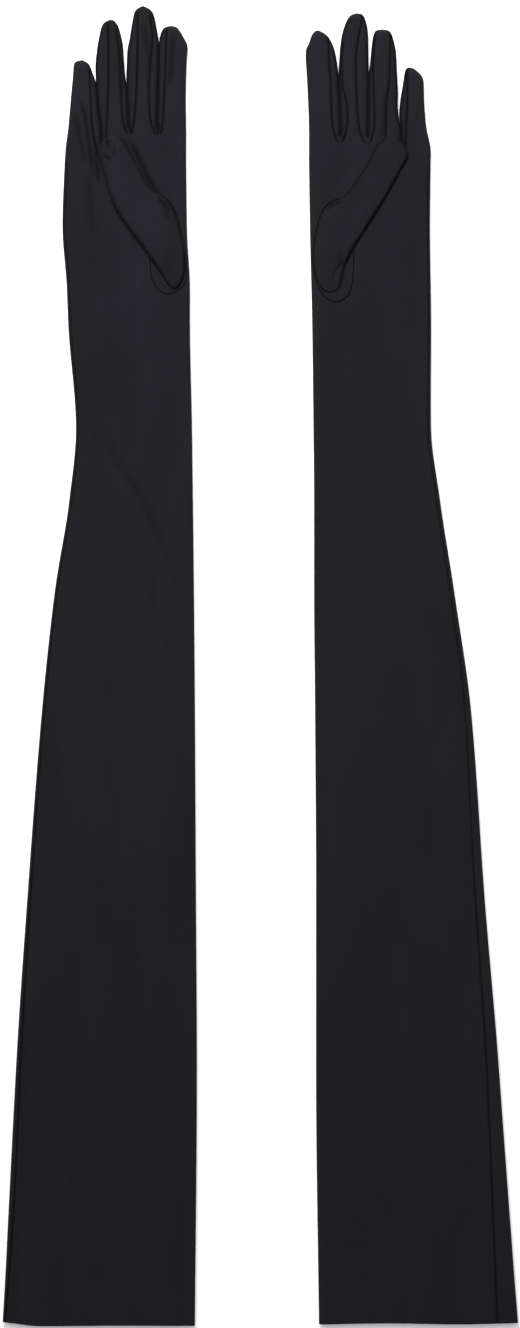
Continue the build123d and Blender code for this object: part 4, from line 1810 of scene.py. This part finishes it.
@dataclass(frozen=True)
class Studio:
    """A pale floor, soft light and a camera straight above."""

    camera_height: float = 3.0
    lens: float = 134.2
    centre: tuple[float, float] = (-0.0003, 0.0012)

    def build(self) -> None:
        """Set the room up."""
        self.build_floor()
        self.build_lights()
        self.build_camera()

    def build_floor(self) -> None:
        """A wide pale sweep of paper under the gloves."""
        bpy.ops.object.select_all(action="DESELECT")
        bpy.ops.mesh.primitive_plane_add(size=12, location=(0, 0, 0))
        floor = bpy.context.view_layer.objects.active
        floor.name = "paper"
        material, nodes, shader = new_material("paper")
        place = nodes.new("ShaderNodeTexCoord")
        grain = add_node(nodes, "TexNoise", {"Scale": 3.0})
        material.node_tree.links.new(place.outputs["Object"], grain.inputs["Vector"])
        base = mix_colours(material, (0.89, 0.89, 0.895), (0.92, 0.92, 0.92))
        material.node_tree.links.new(grain.outputs["Fac"], base.inputs["Factor"])
        material.node_tree.links.new(base.outputs[2], shader.inputs["Base Color"])
        shader.inputs["Roughness"].default_value = 0.9
        shader.inputs["Specular IOR Level"].default_value = 0.1
        shader.inputs["Emission Color"].default_value = (1, 1, 1, 1)
        shader.inputs["Emission Strength"].default_value = 0.25
        floor.data.materials.append(material)

    def build_lights(self) -> None:
        """Large soft lights, the strongest from beyond the fingertips."""
        for name, place, aim, size, power in (
            ("beyond_fingers", (-0.3, 1.6, 1.3), (0, 0.2, 0), 0.9, 62.0),
            ("overhead_left", (-1.6, 0.7, 1.8), (0, 0.2, 0), 1.4, 22.0),
            ("overhead_right", (1.6, 0.6, 1.8), (0, 0.2, 0), 1.4, 15.0),
            ("below_hem", (0.2, -2.2, 2.2), (0, -0.2, 0), 2.0, 3.0),
        ):
            bpy.ops.object.light_add(type="AREA", location=place)
            lamp = bpy.context.view_layer.objects.active
            lamp.name = name
            lamp.data.size = size
            lamp.data.energy = power
            away = Vector(place) - Vector(aim)
            lamp.rotation_euler = away.to_track_quat("Z", "Y").to_euler()
        world = bpy.data.worlds.new("studio")
        world.use_nodes = True
        world.node_tree.nodes["Background"].inputs["Color"].default_value = (0.93, 0.95, 1.0, 1)
        world.node_tree.nodes["Background"].inputs["Strength"].default_value = 0.16
        bpy.context.scene.world = world

    def build_camera(self) -> None:
        """A long lens looking straight down, with the fingertips up in the picture."""
        bpy.ops.object.camera_add(location=(*self.centre, self.camera_height), rotation=(0, 0, 0))
        camera = bpy.context.view_layer.objects.active
        camera.name = "above"
        camera.data.lens = self.lens
        camera.data.sensor_width = 36
        camera.data.clip_end = 20
        bpy.context.scene.camera = camera
        bpy.context.scene.view_settings.view_transform = "Standard"


# ---------------------------------------------------------------- the pair


def dress(pieces: list[bpy.types.Object], material: bpy.types.Material) -> None:
    """Give pieces their finish.

    Args:
        pieces: The objects.
        material: The material.
    """
    for piece in pieces:
        piece.data.materials.clear()
        piece.data.materials.append(material)


def build_glove(glove: Glove, jersey: bpy.types.Material, thread: bpy.types.Material) -> None:
    """Make, dress and hang one glove on its bodies.

    Args:
        glove: The glove.
        jersey: The cloth's material.
        thread: The thread's material.
    """
    body = f"{glove.name}_glove"
    sleeve = Sleeve(glove).build()
    dress(sleeve, jersey)
    joins = Crotches(glove).build()
    dress(joins, jersey)
    for piece in [*sleeve, *joins]:
        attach(piece, body)
    for name in FINGERS:
        pieces = Finger(glove, name).build()
        dress(pieces[:-1], jersey)
        dress(pieces[-1:], thread)
        for piece in pieces:
            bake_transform(piece)
        log.info("%s %s: %d pieces", glove.name, name, len(pieces))
    patch, ring, thumb, stitches = Thumb(glove).build()
    dress([patch, thumb], jersey)
    dress([ring, stitches], thread)
    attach(patch, body)
    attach(ring, body)
    for piece in (thumb, stitches):
        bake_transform(piece)
    log.info("%s glove done", glove.name)


def main() -> None:
    """Build the pair and the room."""
    logging.basicConfig(level=logging.INFO)
    jersey = JerseyFinish().material("black jersey")
    thread = ThreadFinish().material("black thread")
    for glove in (RIGHT, LEFT):
        build_glove(glove, jersey, thread)
    Studio().build()


if __name__ == "__main__":
    main()
